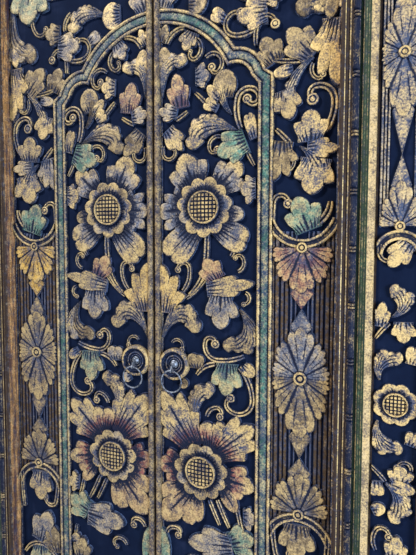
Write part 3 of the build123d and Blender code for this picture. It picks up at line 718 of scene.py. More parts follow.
def spray(carver, x, z, tip_z, half, height=10.0, wash=PLAIN, eye=14.0, tall=0.72,
          waist=(0.40, 0.54, 0.74)):
    """Fingers that spread from an eye to an oval, towards the tip at tip_z."""
    up = 1 if tip_z > z else -1
    length = abs(tip_z - z)
    q = np.linspace(0, 1, 24 * FINGERS + 1)
    turn = np.radians(92) * np.sign(2 * q - 1) * np.abs(2 * q - 1) ** 0.9
    reach, d = lobed(q, FINGERS, 0.13, 2.2)
    small, near = lobed(q, SCALLOPS * FINGERS, 0.085, 1.8)
    oval = 1 / np.sqrt((np.sin(turn) / half) ** 2 + (np.cos(turn) / (tall * length)) ** 2)
    far = 1.04 * oval * reach * small
    r = REACH[None, :]
    out = eye * 0.6 + (far[:, None] - eye * 0.6) * r
    px, pz = out * np.sin(turn)[:, None], out * np.cos(turn)[:, None]
    gap = np.exp(-((1 - d)[:, None] / (0.30 - 0.20 * r)) ** 2)
    notch = ridge(near, 1.0, 0.20)[:, None] * (1 - gap)
    notch = notch * smooth(0.20, 0.45, r) * (1 - 0.45 * smooth(0.55, 0.98, r))
    edge = smooth(0.96, 1.0, r)
    crest = ridge(r, 0.93, 0.05)
    swell = 0.74 + 0.26 * smooth(0.0, 0.55, r)
    body = height * swell - 2.0 * gap - 1.3 * notch - 0.9 * edge - 0.8 * ridge(r, 0.70, 0.17)
    # Gaps and notches keep the dark paint, deepened with painted shade; the dark edge is painted
    # shade, and the crest is a painted highlight
    shown = 1.0 - 0.98 * gap - 0.80 * notch - 0.5 * edge + 0.15 * crest
    gilt = 0.46 + 0.36 * smooth(0.25, 0.75, r) + 0.16 * crest
    name, strength = wash
    # The wash thins on the crest, as part of its painted highlight
    share = strength * (0.7 + 0.3 * smooth(0.1, 0.5, r)) * (1 - 0.5 * crest)
    carver.add(x + px, z + up * pz, body, gilt, shown, (name, share))
    lozenge(carver, x, z, up, half, length, height, wash, waist)


def lozenge(carver, x, z, up, half, length, height, wash, waist):
    """A flat diamond; waist gives its width, foot and widest place as shares."""
    a = np.linspace(0, 1, 9)[:, None]
    b = np.linspace(0, 1, 9)[None, :]
    low, mid = waist[1] * length, waist[2] * length
    px = waist[0] * half * (a - b)
    over = a + b - 1
    pz = np.where(over > 0, mid + (length - mid) * over, low + (mid - low) * (a + b))
    edge = np.minimum(np.minimum(a, 1 - a), np.minimum(b, 1 - b))
    body = height * (0.74 + 0.06 * smooth(0.0, 0.3, edge))
    shown = 0.60 + 0.40 * smooth(0.0, 0.15, edge)
    carver.add(x + px, z + up * pz, body, 0.70, shown, wash)


# %% [markdown]
# ### Straps
#
# Reeds, rims and fillets keep one section all along. A profile is swept along a row of
# places, each with its outward direction, so one function serves straight and round ones.


# %% Straight and round mouldings carved with the leaf
def strap(carver, path, profile, gilt, wash=PLAIN):
    """Sweeps a profile of (offset, height, exposed) along places with outward directions."""
    path, profile = np.array(path), np.array(profile)
    px = path[:, 0:1] + path[:, 2:3] * profile[None, :, 0]
    pz = path[:, 1:2] + path[:, 3:4] * profile[None, :, 0]
    carver.add(px, pz, profile[None, :, 1], gilt, profile[None, :, 2], wash)


def circle_path(x, z, radius, a0, a1, count):
    turns = np.radians(np.linspace(a0, a1, count))
    return [(x + radius * math.cos(t), z + radius * math.sin(t), math.cos(t), math.sin(t))
            for t in turns]


def upright_path(x, z0, z1, count=24):
    return [(x, z, 1.0, 0.0) for z in np.linspace(z0, z1, count)]


def reed_pair(carver, middle, away, wide, tall, shoulder, ends, gilt, wash):
    """Two round reeds, one on each side of a strip's middle line."""
    reed = [(-wide, 0.4, 0.1), (-0.8 * wide, shoulder, 0.7), (0.0, tall, 1.1),
            (0.8 * wide, shoulder, 0.7), (wide, 0.4, 0.1)]
    for x in (middle - away, middle + away):
        strap(carver, upright_path(x, *ends, 3), reed, gilt, wash)


def crescent(carver, x, z, a0, a1, radius):
    """Two curved rims with a dark hollow between them."""
    count = int(math.radians(abs(a1 - a0)) * radius / 3.0)
    path = circle_path(x, z, radius, a0, a1, count)
    rim = [(-21, 3.0, 0.1), (-20.4, 8.6, 0.8), (-18, 9.6, 1.1), (-15.4, 8.4, 0.7), (-14, 6.0, 0.1),
           (-10, 5.4, 0.35), (-6.6, 6.4, 0.1), (-6, 9.0, 0.8), (-3.5, 10.8, 1.1), (-1, 9.4, 0.9),
           (0, 4.0, 0.2)]
    strap(carver, path, rim, 0.85)


# %% [markdown]
# ### Flowers
#
# Round petals stand about a raised disc with a turned rim. The disc is cut into small
# squares, each a pad of its own with sloping sides. Pads at the rim are trimmed to the
# circle, which a grid of whole squares couldn't follow.


# %% Flowers
def flower(carver, x, z, disc, reach, petals, height=12.5, cell=9.6):
    """Petals and a hatched disc; cell is the distance from square to square."""
    start = disc - 7
    for k in range(petals):
        aim = 90 + 360 * (k + 0.5) / petals
        a, b = math.cos(math.radians(aim)), math.sin(math.radians(aim))
        # The petals darken with painted shade round the disc and along their sides
        fan(carver, x + start * a, z + start * b, aim, reach - start,
            2 * math.pi * reach / petals, 1, height - 1.5, opening=104, root=0.34,
            cut=(0.0, 0.66), dome=0.34, hollow=0.5, ring=(x, z, 1.05 * disc, 1.55 * disc, 0.75))
    round_motif(carver, x, z, disc, [
        (0, height - 0.4, 0.1, 0.1), (0.55, height - 0.8, 0.1, 0.1),
        (0.84, height - 1.8, 0.1, 0.1), (0.87, height - 0.4, 0.6, 0.6),
        (0.90, height + 3.0, 1.0, 1.1), (0.97, height + 3.2, 1.0, 1.1),
        (1, height + 1.0, 0.7, 0.7), (1.04, height - 6.0, 0.1, 0.1)], 36)
    inside, half = 0.86 * disc, 0.36 * cell
    steps = int(inside // cell) + 1
    for i in range(-steps, steps + 1):
        for j in range(-steps, steps + 1):
            square = [(i * cell + a * half, j * cell + b * half)
                      for a, b in ((-1, -1), (1, -1), (1, 1), (-1, 1))]
            far = math.hypot(i * cell, j * cell)
            top = height + 2.8 - 2.4 * (far / disc) ** 2
            pad(carver, x, z, within_circle(square, inside), top)


def within_circle(outline, radius, sides=28):
    """What a round edge leaves of a convex outline about the circle's middle."""
    for k in range(sides):
        turn = 2 * math.pi * k / sides
        a, b = math.cos(turn), math.sin(turn)
        kept = []
        for p, q in zip(outline, outline[1:] + outline[:1]):
            over_p, over_q = p[0] * a + p[1] * b - radius, q[0] * a + q[1] * b - radius
            if over_p <= 0:
                kept.append(p)
            if over_p * over_q < 0:
                share = over_p / (over_p - over_q)
                kept.append((p[0] + share * (q[0] - p[0]), p[1] + share * (q[1] - p[1])))
        outline = kept
    return outline


def pad(carver, x, z, outline, height):
    """One small square of the hatching, its top a little smaller than its foot."""
    if len(outline) < 3:
        return
    mid_x = sum(a for a, _ in outline) / len(outline)
    mid_z = sum(b for _, b in outline) / len(outline)
    start, count = len(carver.points), len(outline)
    for size, level, gilt, shown in ((1.0, height - 3.4, 0.1, 0.1), (0.80, height, 1.0, 1.1)):
        for a, b in outline:
            carver.points.append((
                x * carver.side + mid_x + size * (a - mid_x), carver.ground - level,
                z + mid_z + size * (b - mid_z)))
            carver.tones.append((gilt, shown, 0.0))
    carver.tints += [WASHES["plain"]] * (2 * count)
    low, high = start, start + count
    carver.faces.append([high + k for k in range(count)])
    carver.faces.append([low + k for k in range(count)][::-1])
    for k in range(count):
        ahead = (k + 1) % count
        carver.faces.append([low + k, low + ahead, high + ahead, high + k])


# %% [markdown]
# ## Where the motifs lie
#
# The tables give every motif of the right leaf in millimetres from the line where the
# leaves meet and from the floor. The left leaf mirrors them, each a little different, as
# two hand-carved leaves are. A row is one motif, so that a single leaf or scroll can be
# moved, turned or washed without a change to any other.

# %% Leaves of the arched panel: x, z, aim, length, width, lobes
PANEL_LEAVES = [
    (20, 1842, 65, 40, 34, 3), (34, 1774, 96, 54, 38, 1), (103, 1853, 245, 42, 48, 3),
    (72, 1680, 97, 74, 62, 3), (112, 1748, 0, 36, 56, 3), (184, 1694, 85, 58, 58, 1),
    (172, 1690, 130, 42, 26, 1), (167, 1670, 152, 38, 30, 2),
    (62, 1668, 172, 48, 44, 3), (37, 1630, -52, 66, 50, 3), (238, 1590, 202, 74, 78, 3),
    (262, 1480, 182, 34, 66, 3), (258, 1594, 105, 66, 30, 2), (168, 1266, 122, 58, 64, 3),
    (142, 1243, 8, 116, 52, 3), (16, 1180, 88, 112, 122, 5), (178, 1232, -90, 78, 82, 3),
    (115, 1046, 88, 40, 46, 2), (195, 1064, -92, 76, 72, 3), (236, 1062, -35, 34, 30, 1),
    (72, 1008, -20, 22, 26, 1), (238, 692, 0, 30, 56, 3), (208, 616, 28, 64, 78, 3),
    (210, 610, 185, 112, 88, 3), (6, 500, 86, 116, 66, 1), (236, 474, 100, 60, 58, 3),
    (262, 520, 150, 34, 36, 2),
]
PETALS = [
    (109, 1485, 110, 88, 108, 3), (172, 1486, 45, 76, 86, 3), (90, 1434, 182, 74, 108, 5),
    (112, 1388, 225, 114, 84, 2), (165, 1394, -28, 100, 72, 2), (196, 1425, -8, 40, 42, 1),
    (100, 858, 125, 138, 116, 5), (152, 862, 84, 58, 64, 2), (176, 846, 40, 114, 108, 5),
    (80, 788, 178, 70, 82, 3), (188, 778, -8, 80, 84, 3), (188, 748, -55, 56, 38, 1),
    (104, 742, 230, 122, 116, 3), (116, 720, -85, 66, 36, 1),
]
FLOWERS = [(134, 1440), (127, 786)]
print("on the panel:", len(PANEL_LEAVES), "leaves and", len(PETALS), "petals")

# %% Scrolls of the panel: x, z, heading, arcs (radius, turn), width, bud
PANEL_SCROLLS = [
    (35, 1836, 70, [(45, -75)], 9, 0), (113, 1836, -30, [(26, -120), (11, -150)], 8, 5),
    (138, 1790, 45, [(24, -190), (10, -130)], 8, 8),
    (225, 1620, 115, [(110, -35), (27, -150), (14, -180)], 10, 9),
    (25, 1592, -100, [(70, 15), (17, 200)], 7, 6), (183, 1600, 140, [(22, 160), (10, 110)], 7, 8),
    (141, 1372, -88, [(400, -10), (120, -42)], 10, 0), (221, 1287, 20, [(22, 110), (9, 110)], 7, 5),
    (78, 1236, 48, [(70, 50), (15, 170)], 8, 7), (240, 1237, -20, [(14, -150)], 7, 5),
    (88, 1218, 34, [(200, 20)], 7, 0),
    (48, 1105, 60, [(16, -170)], 6, 6),
    (234, 1084, 205, [(150, -25), (34, -110), (13, -150)], 9, 9),
    (163, 1060, 185, [(60, 55)], 9, 0),
    (226, 1057, -45, [(110, -45), (36, -130), (17, -110)], 9, 9),
    (142, 928, 80, [(30, -70), (12, -130)], 8, 8), (150, 716, -66, [(900, 4)], 8, 0),
    (171, 720, -66, [(800, 5)], 8, 0), (222, 708, -78, [(700, 5)], 8, 0),
    (32, 608, 75, [(24, -95), (9, -110)], 8, 8), (138, 1685, 132, [(300, 7)], 8, 0),
    (88, 546, 70, [(22, -120), (10, -120)], 7, 6), (250, 566, -86, [(300, 8)], 7, 0),
    (60, 1652, 25, [(200, 10)], 8, 0), (243, 1560, -64, [(300, 6)], 7, 0),
    (203, 1322, 59, [(200, 5)], 7, 0),
]
# Plumes: x, z, heading, arcs, stem width, full width, lobes
PANEL_PLUMES = [
    (23, 1712, 92, [(200, -16), (34, -120)], 9, 56, 3),
    (215, 1614, 150, [(120, 38), (36, 100)], 11, 76, 3),
    (18, 1108, 75, [(110, -40), (30, -150)], 9, 70, 2),
    (226, 1196, -48, [(66, -50), (36, -120)], 10, 62, 3),
    (202, 1654, 136, [(90, -48)], 9, 32, 1),
    (112, 900, 100, [(160, -25), (34, -95)], 11, 64, 3),
]
print("and", len(PANEL_SCROLLS), "scrolls and", len(PANEL_PLUMES), "plumes")

# %% The same kinds on the upright strip and beside the arch
STRIP_LEAVES = [
    (388, 1762, 132, 80, 76, 3), (450, 1832, -93, 134, 112, 5), (306, 1758, 118, 58, 66, 3),
    (285, 1872, 185, 68, 74, 3), (188, 1868, 150, 44, 34, 2), (345, 1738, 192, 42, 26, 1),
    (436, 1908, -99, 76, 54, 3),
    (95, 1925, 0, 48, 72, 1), (24, 1922, 75, 60, 70, 3), (280, 1905, 0, 42, 60, 3),
    (388, 1577, 91, 64, 78, 3), (380, 1562, -2, 68, 44, 3), (316, 1583, -98, 86, 88, 5),
    (400, 1540, -98, 74, 92, 3), (326, 1694, -76, 62, 66, 3), (376, 2042, -88, 92, 118, 3),
    (386, 1382, 111, 74, 82, 3), (368, 700, -90, 78, 84, 3), (374, 490, 107, 96, 98, 3),
    (314, 470, 84, 78, 84, 5), (374, 478, -92, 70, 80, 3),
]
STRIP_SCROLLS = [
    (390, 1745, -122, [(24, 90), (9, 100)], 7, 6), (388, 1757, 188, [(220, -22)], 9, 0),
    (260, 1802, 97, [(120, -22), (21, -160)], 8, 9),
    (264, 1844, 222, [(60, -62), (25, -180)], 9, 9),
    (370, 1950, -95, [(60, -35), (19, -115)], 8, 7), (243, 1952, -30, [(40, -70)], 9, 0),
    (418, 1600, 52, [(90, 45), (34, 95), (15, 120)], 11, 11), (404, 1806, 52, [(300, 5)], 8, 0),
    (340, 1578, 132, [(500, 5)], 9, 0), (303, 1405, 92, [(300, -8), (17, -170)], 9, 9),
    (402, 1398, 25, [(52, 65)], 12, 0), (310, 690, -88, [(400, 10), (18, 165)], 9, 9),
    (438, 690, -88, [(500, -12)], 9, 0), (348, 1545, -60, [(20, -110)], 6, 5),
    (354, 505, 40, [(20, 95)], 6, 5), (318, 450, 62, [(64, -124)], 10, 0),
]
STRIP_PLUMES = [
    (440, 1990, -90, [(400, -10), (62, -98)], 22, 84, 2), (390, 1758, 212, [(120, 50)], 10, 40, 1),
    (135, 1928, 25, [(150, -25), (36, -100)], 12, 66, 3), (362, 1568, -30, [(96, -48)], 8, 66, 1),
]
print("on the upright strip:", len(STRIP_LEAVES), "leaves,", len(STRIP_SCROLLS), "scrolls")

# %% On the frame's strip: x is measured from the strip's middle line, outwards
FRIEZE_LEAVES = [
    (16, 1354, 234, 56, 52, 3), (-34, 1182, 84, 50, 38, 3), (11, 1193, -88, 40, 50, 3),
    (12, 856, 88, 36, 50, 3), (-4, 850, -8, 46, 26, 1), (-34, 852, -85, 34, 34, 2),
    (6, 690, 85, 50, 50, 3), (-40, 787, 30, 30, 28, 1), (28, 1108, 80, 40, 30, 2),
    (30, 938, 75, 32, 30, 2),
]
FRIEZE_SCROLLS = [
    (-38, 1352, -95, [(110, 10), (17, 170)], 7, 7), (34, 886, 80, [(13, 180)], 6, 7),
    (-32, 702, 120, [(44, -60), (14, -150)], 7, 7), (-16, 1190, 225, [(200, 12)], 7, 0),
    (-16, 855, 130, [(200, 12)], 7, 0),
]
FRIEZE_PLUMES = [
    (-12, 1203, 20, [(30, 150)], 9, 48, 2), (-32, 1070, 108, [(36, -125)], 9, 46, 3),
    (-34, 982, -104, [(42, 118)], 9, 46, 3), (-15, 850, -30, [(50, -105)], 9, 50, 3),
]
print("on the frame's strip:", len(FRIEZE_LEAVES), "leaves,", len(FRIEZE_SCROLLS), "scrolls")

# %% Thin washes of colour, by the place of the motif: name and strength
WASHED = {
    (72, 1680): ("rose", 0.5), (168, 1266): ("rose", 0.5), (238, 1590): ("green", 0.8),
    (386, 1382): ("green", 0.75), (195, 1064): ("green", 0.55), (208, 616): ("green", 0.65),
    (6, 500): ("green", 0.75), (112, 1388): ("blue", 0.5), (165, 1394): ("blue", 0.5),
    (178, 1232): ("blue", 0.5), (210, 610): ("blue", 0.4), (16, 1180): ("amber", 0.3),
    (18, 1108): ("umber", 0.3), (306, 1758): ("umber", 0.8), (450, 1832): ("amber", 0.2),
    (376, 2042): ("green", 0.5), (24, 1922): ("blue", 0.4), (374, 478): ("green", 0.4),
    (90, 1434): ("blue", 0.7), (109, 1485): ("blue", 0.5), (172, 1486): ("blue", 0.6),
    (142, 1243): ("umber", 0.2), (314, 470): ("umber", 0.8),
}
ROSY_BASES = {(100, 858), (176, 846), (152, 862), (188, 778), (80, 788)}
print(len(WASHED), "motifs with a wash of their own")

# %% [markdown]
# ## The carved leaves
#
# The ground of a leaf lies 6 mm behind the plane of the relief. Its carving is made as
# three pieces of the same board: the inner panel, the upright strip, and the mouldings
# round the arch. Each stays light enough to work on, and one can be carved again without
# the others.

# %% Sizes of a leaf's layout, in millimetres
GROUND = 6.0
STRIP_X = 372.0
ROSETTE, CROSS_TOP, CROSS_LOW = 1047.0, 1205.0, 859.0
FAN_TOP, FAN_LOW = 1344.0, 728.0
ARCH_Z, ARCH_R = 1673.0, 211.0
SHOULDER_X, SHOULDER_Z, SHOULDER_R = 210.0, 1728.0, 39.0
MOULD_X, MOULD_WIDE, MOULD_FOOT = 266.0, 38.0, 150.0
RAIL_LOW, RAIL_TOP = (76.0, 151.0), (1996.0, 2071.0)
# How high the motifs stand over the ground
SCROLL_HIGH, PLUME_HIGH, LEAF_HIGH, PETAL_HIGH = 8.5, 11.0, 11.5, 9.6
# Each side's own run of small differences
PANEL_SEEDS = {"left": 23, "right": 11}
STRIP_SEEDS = {"left": 47, "right": 31}
FRIEZE_SEEDS = {"left": 73, "right": 61}


# %% Motifs from the tables
def varied(carver, row):
    """The mirrored side's motifs differ a little in aim and size."""
    if carver.side > 0:
        return row
    x, z, aim, length, width, *rest = row
    pick = carver.random
    return (x, z, aim + pick.uniform(-4, 4), length * pick.uniform(0.95, 1.04),
            width * pick.uniform(0.95, 1.05), *rest)


def wash_at(row, usual=PLAIN):
    """The wash at a motif's place, or the usual one."""
    return WASHED.get(row[:2], usual)


def carve_motifs(carver, leaves, scrolls, plumes, scale=1.0):
    for row in scrolls:
        band(carver, *row, SCROLL_HIGH * scale, wash_at(row))
    for row in plumes:
        plume(carver, *row, PLUME_HIGH * scale, wash_at(row))
    for row in leaves:
        fan(carver, *varied(carver, row), LEAF_HIGH * scale, wash_at(row))


# %% The inner panel: stalks and leaves, and two great flowers
def carve_panel(name, side):
    carver = Carver(f"panel_carving_{name}", GROUND, side, PANEL_SEEDS[name],
                    upright=(0.0, MOULD_X - 0.5))
    carve_motifs(carver, PANEL_LEAVES, PANEL_SCROLLS, PANEL_PLUMES)
    for row in PETALS:
        middle = min(FLOWERS, key=lambda place: math.dist(place, row[:2]))
        low, rosy = middle == FLOWERS[-1], row[:2] in ROSY_BASES
        wash = ("rose", 0.80) if rosy else wash_at(row, ("copper", 0.55) if low else PLAIN)
        # The petals darken with painted shade round the wreath of their flower
        fan(carver, *varied(carver, row), PETAL_HIGH, wash, opening=122, root=0.30,
            start=-18.0, cut=(0.12, 0.78), base_wash=rosy or not low, vein=True,
            ring=(*middle, 70.0, 100.0, 0.70))
    for x, z in FLOWERS:
        flower(carver, x, z, disc=40, reach=71, petals=11)
    carver.finish(f"leaf_{name}", [f"leaf_carved_{name}"])


for name, side in SIDES.items():
    carve_panel(name, side)

# %% [markdown]
# ### The upright strip
#
# A diamond of two sprays stands in the middle of each strip. A fan points at it from above
# and one from below, each closed off by a crescent. Reeds run up beside them, and leaves
# and scrolls fill the ends and the corners beside the arch.

# %% The upright strip: sprays, rosette, crescents and reeds, with leaves above and below
# Reeds beside the diamonds: distance from the strip's middle and half width
REEDS = [(67, 3.2), (57, 4.8), (45, 3.6), (35, 4.2), (24, 2.6), (14, 2.0)]
REED_FIELD, REEDS_UP = 68, (700, 1372)
# The turned eye of a diamond: share of its radius, height, gilt, exposed
STRIP_EYE = [
    (0, 14.5, 1.0, 1.1), (0.30, 14.3, 1.0, 1.1), (0.40, 12.0, 0.2, 0.1),
    (0.54, 12.0, 0.2, 0.1), (0.62, 14.6, 1.0, 1.1), (0.85, 14.2, 0.9, 1.0),
    (1, 9.0, 0.2, 0.2)]
# Sprays from the top down: foot, tip and half width, and each side's washes for them
STRIP_SPRAYS = [
    (FAN_TOP, CROSS_TOP, 67), (ROSETTE, CROSS_TOP, 64), (ROSETTE, CROSS_LOW, 64),
    (FAN_LOW, CROSS_LOW, 66)]
STRIP_WASHES = {
    "left": [("amber", 0.6), ("umber", 0.40), ("brown", 0.40), ("umber", 0.66)],
    "right": [("rose", 0.55), ("blue", 0.60), ("umber", 0.66), ("umber", 0.66)]}
# Crescents: height of the middle, first and last angle, radius
STRIP_CRESCENTS = [(1431, 198, 342, 89), (644, 14, 166, 85)]


def carve_strip(name, side):
    carver = Carver(f"strip_carving_{name}", GROUND, side, STRIP_SEEDS[name],
                    upright=(MOULD_X + MOULD_WIDE + 0.5, math.inf))
    for away, wide in REEDS:
        share = away / REED_FIELD
        tall = 2.4 + 2.4 * share
        reed_pair(carver, STRIP_X, away, wide, tall, 0.8 * tall, REEDS_UP,
                  0.07 + 0.32 * share, ("brown", 0.9 if away > 30 else 0.3))
    carve_motifs(carver, STRIP_LEAVES, STRIP_SCROLLS, STRIP_PLUMES)
    for (z, tip, half), wash in zip(STRIP_SPRAYS, STRIP_WASHES[name]):
        spray(carver, STRIP_X, z, tip, half, wash=wash)
    for z, radius in ((FAN_TOP, 13), (ROSETTE, 17), (FAN_LOW, 14)):
        round_motif(carver, STRIP_X, z, radius, STRIP_EYE, 26)
    for row in STRIP_CRESCENTS:
        crescent(carver, STRIP_X, *row)
    carver.finish(f"leaf_{name}", [f"leaf_carved_{name}"])


for name, side in SIDES.items():
    carve_strip(name, side)

# %% [markdown]
# ### The mouldings of a leaf
#
# The arch's moulding keeps one section up its uprights, round the shoulders and over the
# crown. Shoulder and crown are two circles. Where they cross is worked out again for each
# line of the section, so that the rims stay the same distance apart in the corner.

# %% The mouldings: round the arched panel, along the edges, and across foot and head
# The arch's moulding has two gilded rims with a teal band between them. Rows: offset,
# height, exposed
RIM = [(0.0, 0.0, 0.1), (0.6, 6.0, 0.4), (2.0, 9.0, 0.9), (4.5, 10.0, 1.0), (7.0, 9.0, 0.9),
       (8.6, 6.0, 0.3), (9.4, 4.0, 0.1)]
TEAL_BAND = [(9.4, 4.0, 0.1), (11.0, 6.6, 0.6), (15.0, 7.4, 0.9), (19.0, 7.6, 0.9),
             (23.0, 7.4, 0.9), (27.0, 6.6, 0.6), (28.6, 4.0, 0.1)]
OUTER_RIM = [(MOULD_WIDE - a, h, e) for a, h, e in reversed(RIM)]
FILLET_WIDE = 5.0
FILLET = [(0, 0, 0.1), (0.5, 3.6, 0.6), (2.5, 4.4, 0.9), (4.5, 3.6, 0.6), (FILLET_WIDE, 0, 0.1)]


def moulding_line(offset):
    """Foot to crown of the moulding at an offset outwards: upright, shoulder and arch."""
    small, large = SHOULDER_R + offset, ARCH_R + offset
    apart = math.hypot(SHOULDER_X, SHOULDER_Z - ARCH_Z)
    along_it = (large**2 - small**2 + apart**2) / (2 * apart)
    beside_it = math.sqrt(large**2 - along_it**2)
    a, b = SHOULDER_X / apart, (SHOULDER_Z - ARCH_Z) / apart
    x, z = along_it * a - beside_it * b, ARCH_Z + along_it * b + beside_it * a
    ends = math.degrees(math.atan2(z - SHOULDER_Z, x - SHOULDER_X))
    starts = math.degrees(math.atan2(z - ARCH_Z, x))
    line = [(MOULD_X + offset, height)
            for height in np.linspace(MOULD_FOOT, ARCH_FOOT + offset / 2, 40)]
    line += [row[:2] for row in circle_path(SHOULDER_X, SHOULDER_Z, small, 14, ends, 22)]
    line += [row[:2] for row in circle_path(0, ARCH_Z, large, starts, 90, 44)[1:]]
    return line


def carve_mouldings(name, side):
    carver = Carver(f"leaf_mouldings_{name}", GROUND, side)
    for profile, gilt, wash in (
            (RIM, 0.85, PLAIN), (TEAL_BAND, 0.62, ("teal", 0.52)), (OUTER_RIM, 0.85, PLAIN)):
        lines = np.array([moulding_line(offset) for offset, _, _ in profile])
        px, pz = lines[:, :, 0].T, lines[:, :, 1].T
        heights, shown = np.array(profile)[None, :, 1], np.array(profile)[None, :, 2]
        colour, strength = wash
        drift = 0.28 * np.sin(pz / 41 + 2 * np.sin(pz / 77 + side)) * (strength > 0)
        carver.add(px, pz, heights, gilt, shown, (colour, strength + drift))
    for x in (EDGE_IN + 0.5, EDGE_OUT - 0.5 - FILLET_WIDE):
        strap(carver, upright_path(x, RAIL_LOW[0], RAIL_TOP[1]), FILLET, 0.5)
    for low, high in (RAIL_LOW, RAIL_TOP):
        span = high - low
        face = [(0.0, 0.0, 0.1), (0.6, 4.6, 0.6), (3.0, 6.0, 0.9), (8.0, 5.8, 0.6),
                (span - 8.0, 5.8, 0.6), (span - 3.0, 6.0, 0.9), (span - 0.6, 4.6, 0.6),
                (span, 0.0, 0.1)]
        path = [(x, low, 0.0, 1.0) for x in np.linspace(EDGE_IN, EDGE_OUT, 24)]
        strap(carver, path, face, 0.45)
    carver.finish(f"leaf_{name}", [f"leaf_carved_{name}"])


for name, side in SIDES.items():
    carve_mouldings(name, side)

# %% [markdown]
# ## The carved strips of the frame
#
# The strip on each jamb repeats the leaf's upright strip at a smaller scale, with a flower
# of its own. It stands 36 mm nearer the viewer, so its ground is at another depth, and its
# tables start from its middle line, whose place is read from the solid model.

# %% The frieze of a jamb
FRIEZE_GROUND = -30.0
FRIEZE_REEDS, FRIEZE_REEDS_UP = [(38.5, 2.4), (32.0, 2.4), (25.5, 2.2)], (1392, 1872)
FRIEZE_EYE = [
    (0, 11.6, 1.0, 1.1), (0.32, 11.4, 1.0, 1.1), (0.44, 9.4, 0.2, 0.1),
    (0.60, 11.5, 1.0, 1.1), (0.85, 11.0, 0.9, 1.0), (1, 7.0, 0.2, 0.3)]
# Its rosette, the fan below it, where their sprays end, and the flower's middle
FRIEZE_ROSETTE, FRIEZE_FAN, FRIEZE_TOP, FRIEZE_CROSS = 1730, 1388, 1888, 1532
FRIEZE_FLOWER, FRIEZE_CRESCENT = 1021, (1328, 5, 175, 53)


def carve_frieze(name, side):
    low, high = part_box(f"jamb_carved_strip_{name}")
    near, far = sorted((abs(low[0]) / MM, abs(high[0]) / MM))
    middle = (near + far) / 2
    carver = Carver(f"jamb_strip_carving_{name}", FRIEZE_GROUND, side, FRIEZE_SEEDS[name],
                    (near + 0.1, far - 0.1))
    tables = [[(row[0] + middle, *row[1:]) for row in rows]
              for rows in (FRIEZE_LEAVES, FRIEZE_SCROLLS, FRIEZE_PLUMES)]
    carve_motifs(carver, *tables, 0.85)
    for away, wide in FRIEZE_REEDS:
        reed_pair(carver, middle, away, wide, 3.8, 3.0, FRIEZE_REEDS_UP, 0.72, ("blue", 0.4))
    for z, tip, half in ((FRIEZE_ROSETTE, FRIEZE_TOP, 41), (FRIEZE_ROSETTE, FRIEZE_CROSS, 41),
                         (FRIEZE_FAN, FRIEZE_CROSS, 39)):
        spray(carver, middle, z, tip, half, 8.5, ("blue", 0.22), eye=11, tall=0.62,
              waist=(0.50, 0.38, 0.57))
    for z, radius in ((FRIEZE_ROSETTE, 13), (FRIEZE_FAN, 11)):
        round_motif(carver, middle, z, radius, FRIEZE_EYE, 22)
    flower(carver, middle, FRIEZE_FLOWER, disc=25, reach=45, petals=8, height=8.4, cell=7.4)
    crescent(carver, middle, *FRIEZE_CRESCENT)
    carver.finish("frame", [f"jamb_carved_strip_{name}"])


for name, side in SIDES.items():
    carve_frieze(name, side)

# %% [markdown]
# ## Boards, mouldings and ironwork
#
# These are plain shapes: each starts from a primitive or a profile and is extruded,
# bevelled, cut or spun, as it would be by hand. Edges and corners are picked in code by
# their place, because nothing can be clicked on here.

# %% Steps that the plain pieces share
PLAIN_SMOOTH = 40


def finish_piece(piece, body, material, replaced):
    """Applies the transform, smooths, gives the material and hangs the piece on its body."""
    only(piece)
    bpy.ops.object.transform_apply(location=True, rotation=True, scale=True)
    bpy.ops.object.shade_smooth_by_angle(angle=math.radians(PLAIN_SMOOTH))
    piece.data.materials.clear()
    piece.data.materials.append(material)
    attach(piece, body)
    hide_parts(*replaced)
    print(f"{piece.name}: {len(piece.data.polygons)} faces")


def mirrored(across, side):
    """An extent along X on one side of the door."""
    return sorted(side * x for x in across)


def block(name, across, through, up):
    """A box from its extents along X, Y and Z, in metres."""
    extents = (across, through, up)
    bpy.ops.mesh.primitive_cube_add(size=1.0)
    piece = bpy.context.object
    piece.name = name
    piece.scale = [high - low for low, high in extents]
    piece.location = [(low + high) / 2 for low, high in extents]
    bpy.ops.object.transform_apply(location=True, rotation=True, scale=True)
    return piece


def bevel(piece, width):
    """Breaks all the sharp edges of a piece."""
    only(piece)
    made = piece.modifiers.new("edges", "BEVEL")
    made.width, made.segments = width, 2
    made.limit_method, made.angle_limit = "ANGLE", math.radians(30)
    bpy.ops.object.modifier_apply(modifier=made.name)


def pick(piece, mode, chosen):
    """Opens a piece for editing with the corners or edges selected that pass a test."""
    only(piece)
    bpy.ops.object.mode_set(mode="EDIT")
    bpy.ops.mesh.select_mode(type=mode)
    bpy.ops.mesh.select_all(action="DESELECT")
    edit = bmesh.from_edit_mesh(piece.data)
    for part in (edit.verts if mode == "VERT" else edit.edges):
        ends = [part] if mode == "VERT" else part.verts
        if chosen(*(end.co for end in ends)):
            part.select = True
    bmesh.update_edit_mesh(piece.data)


def round_edges(piece, width, segments, chosen):
    """Rounds the chosen edges."""
    pick(piece, "EDGE", chosen)
    bpy.ops.mesh.bevel(offset=width, segments=segments)
    bpy.ops.mesh.select_mode(type="VERT")
    bpy.ops.object.mode_set(mode="OBJECT")


def join(pieces, name):
    only(pieces[0])
    for piece in pieces[1:]:
        piece.select_set(True)
    bpy.ops.object.join()
    bpy.context.object.name = name
    return bpy.context.object


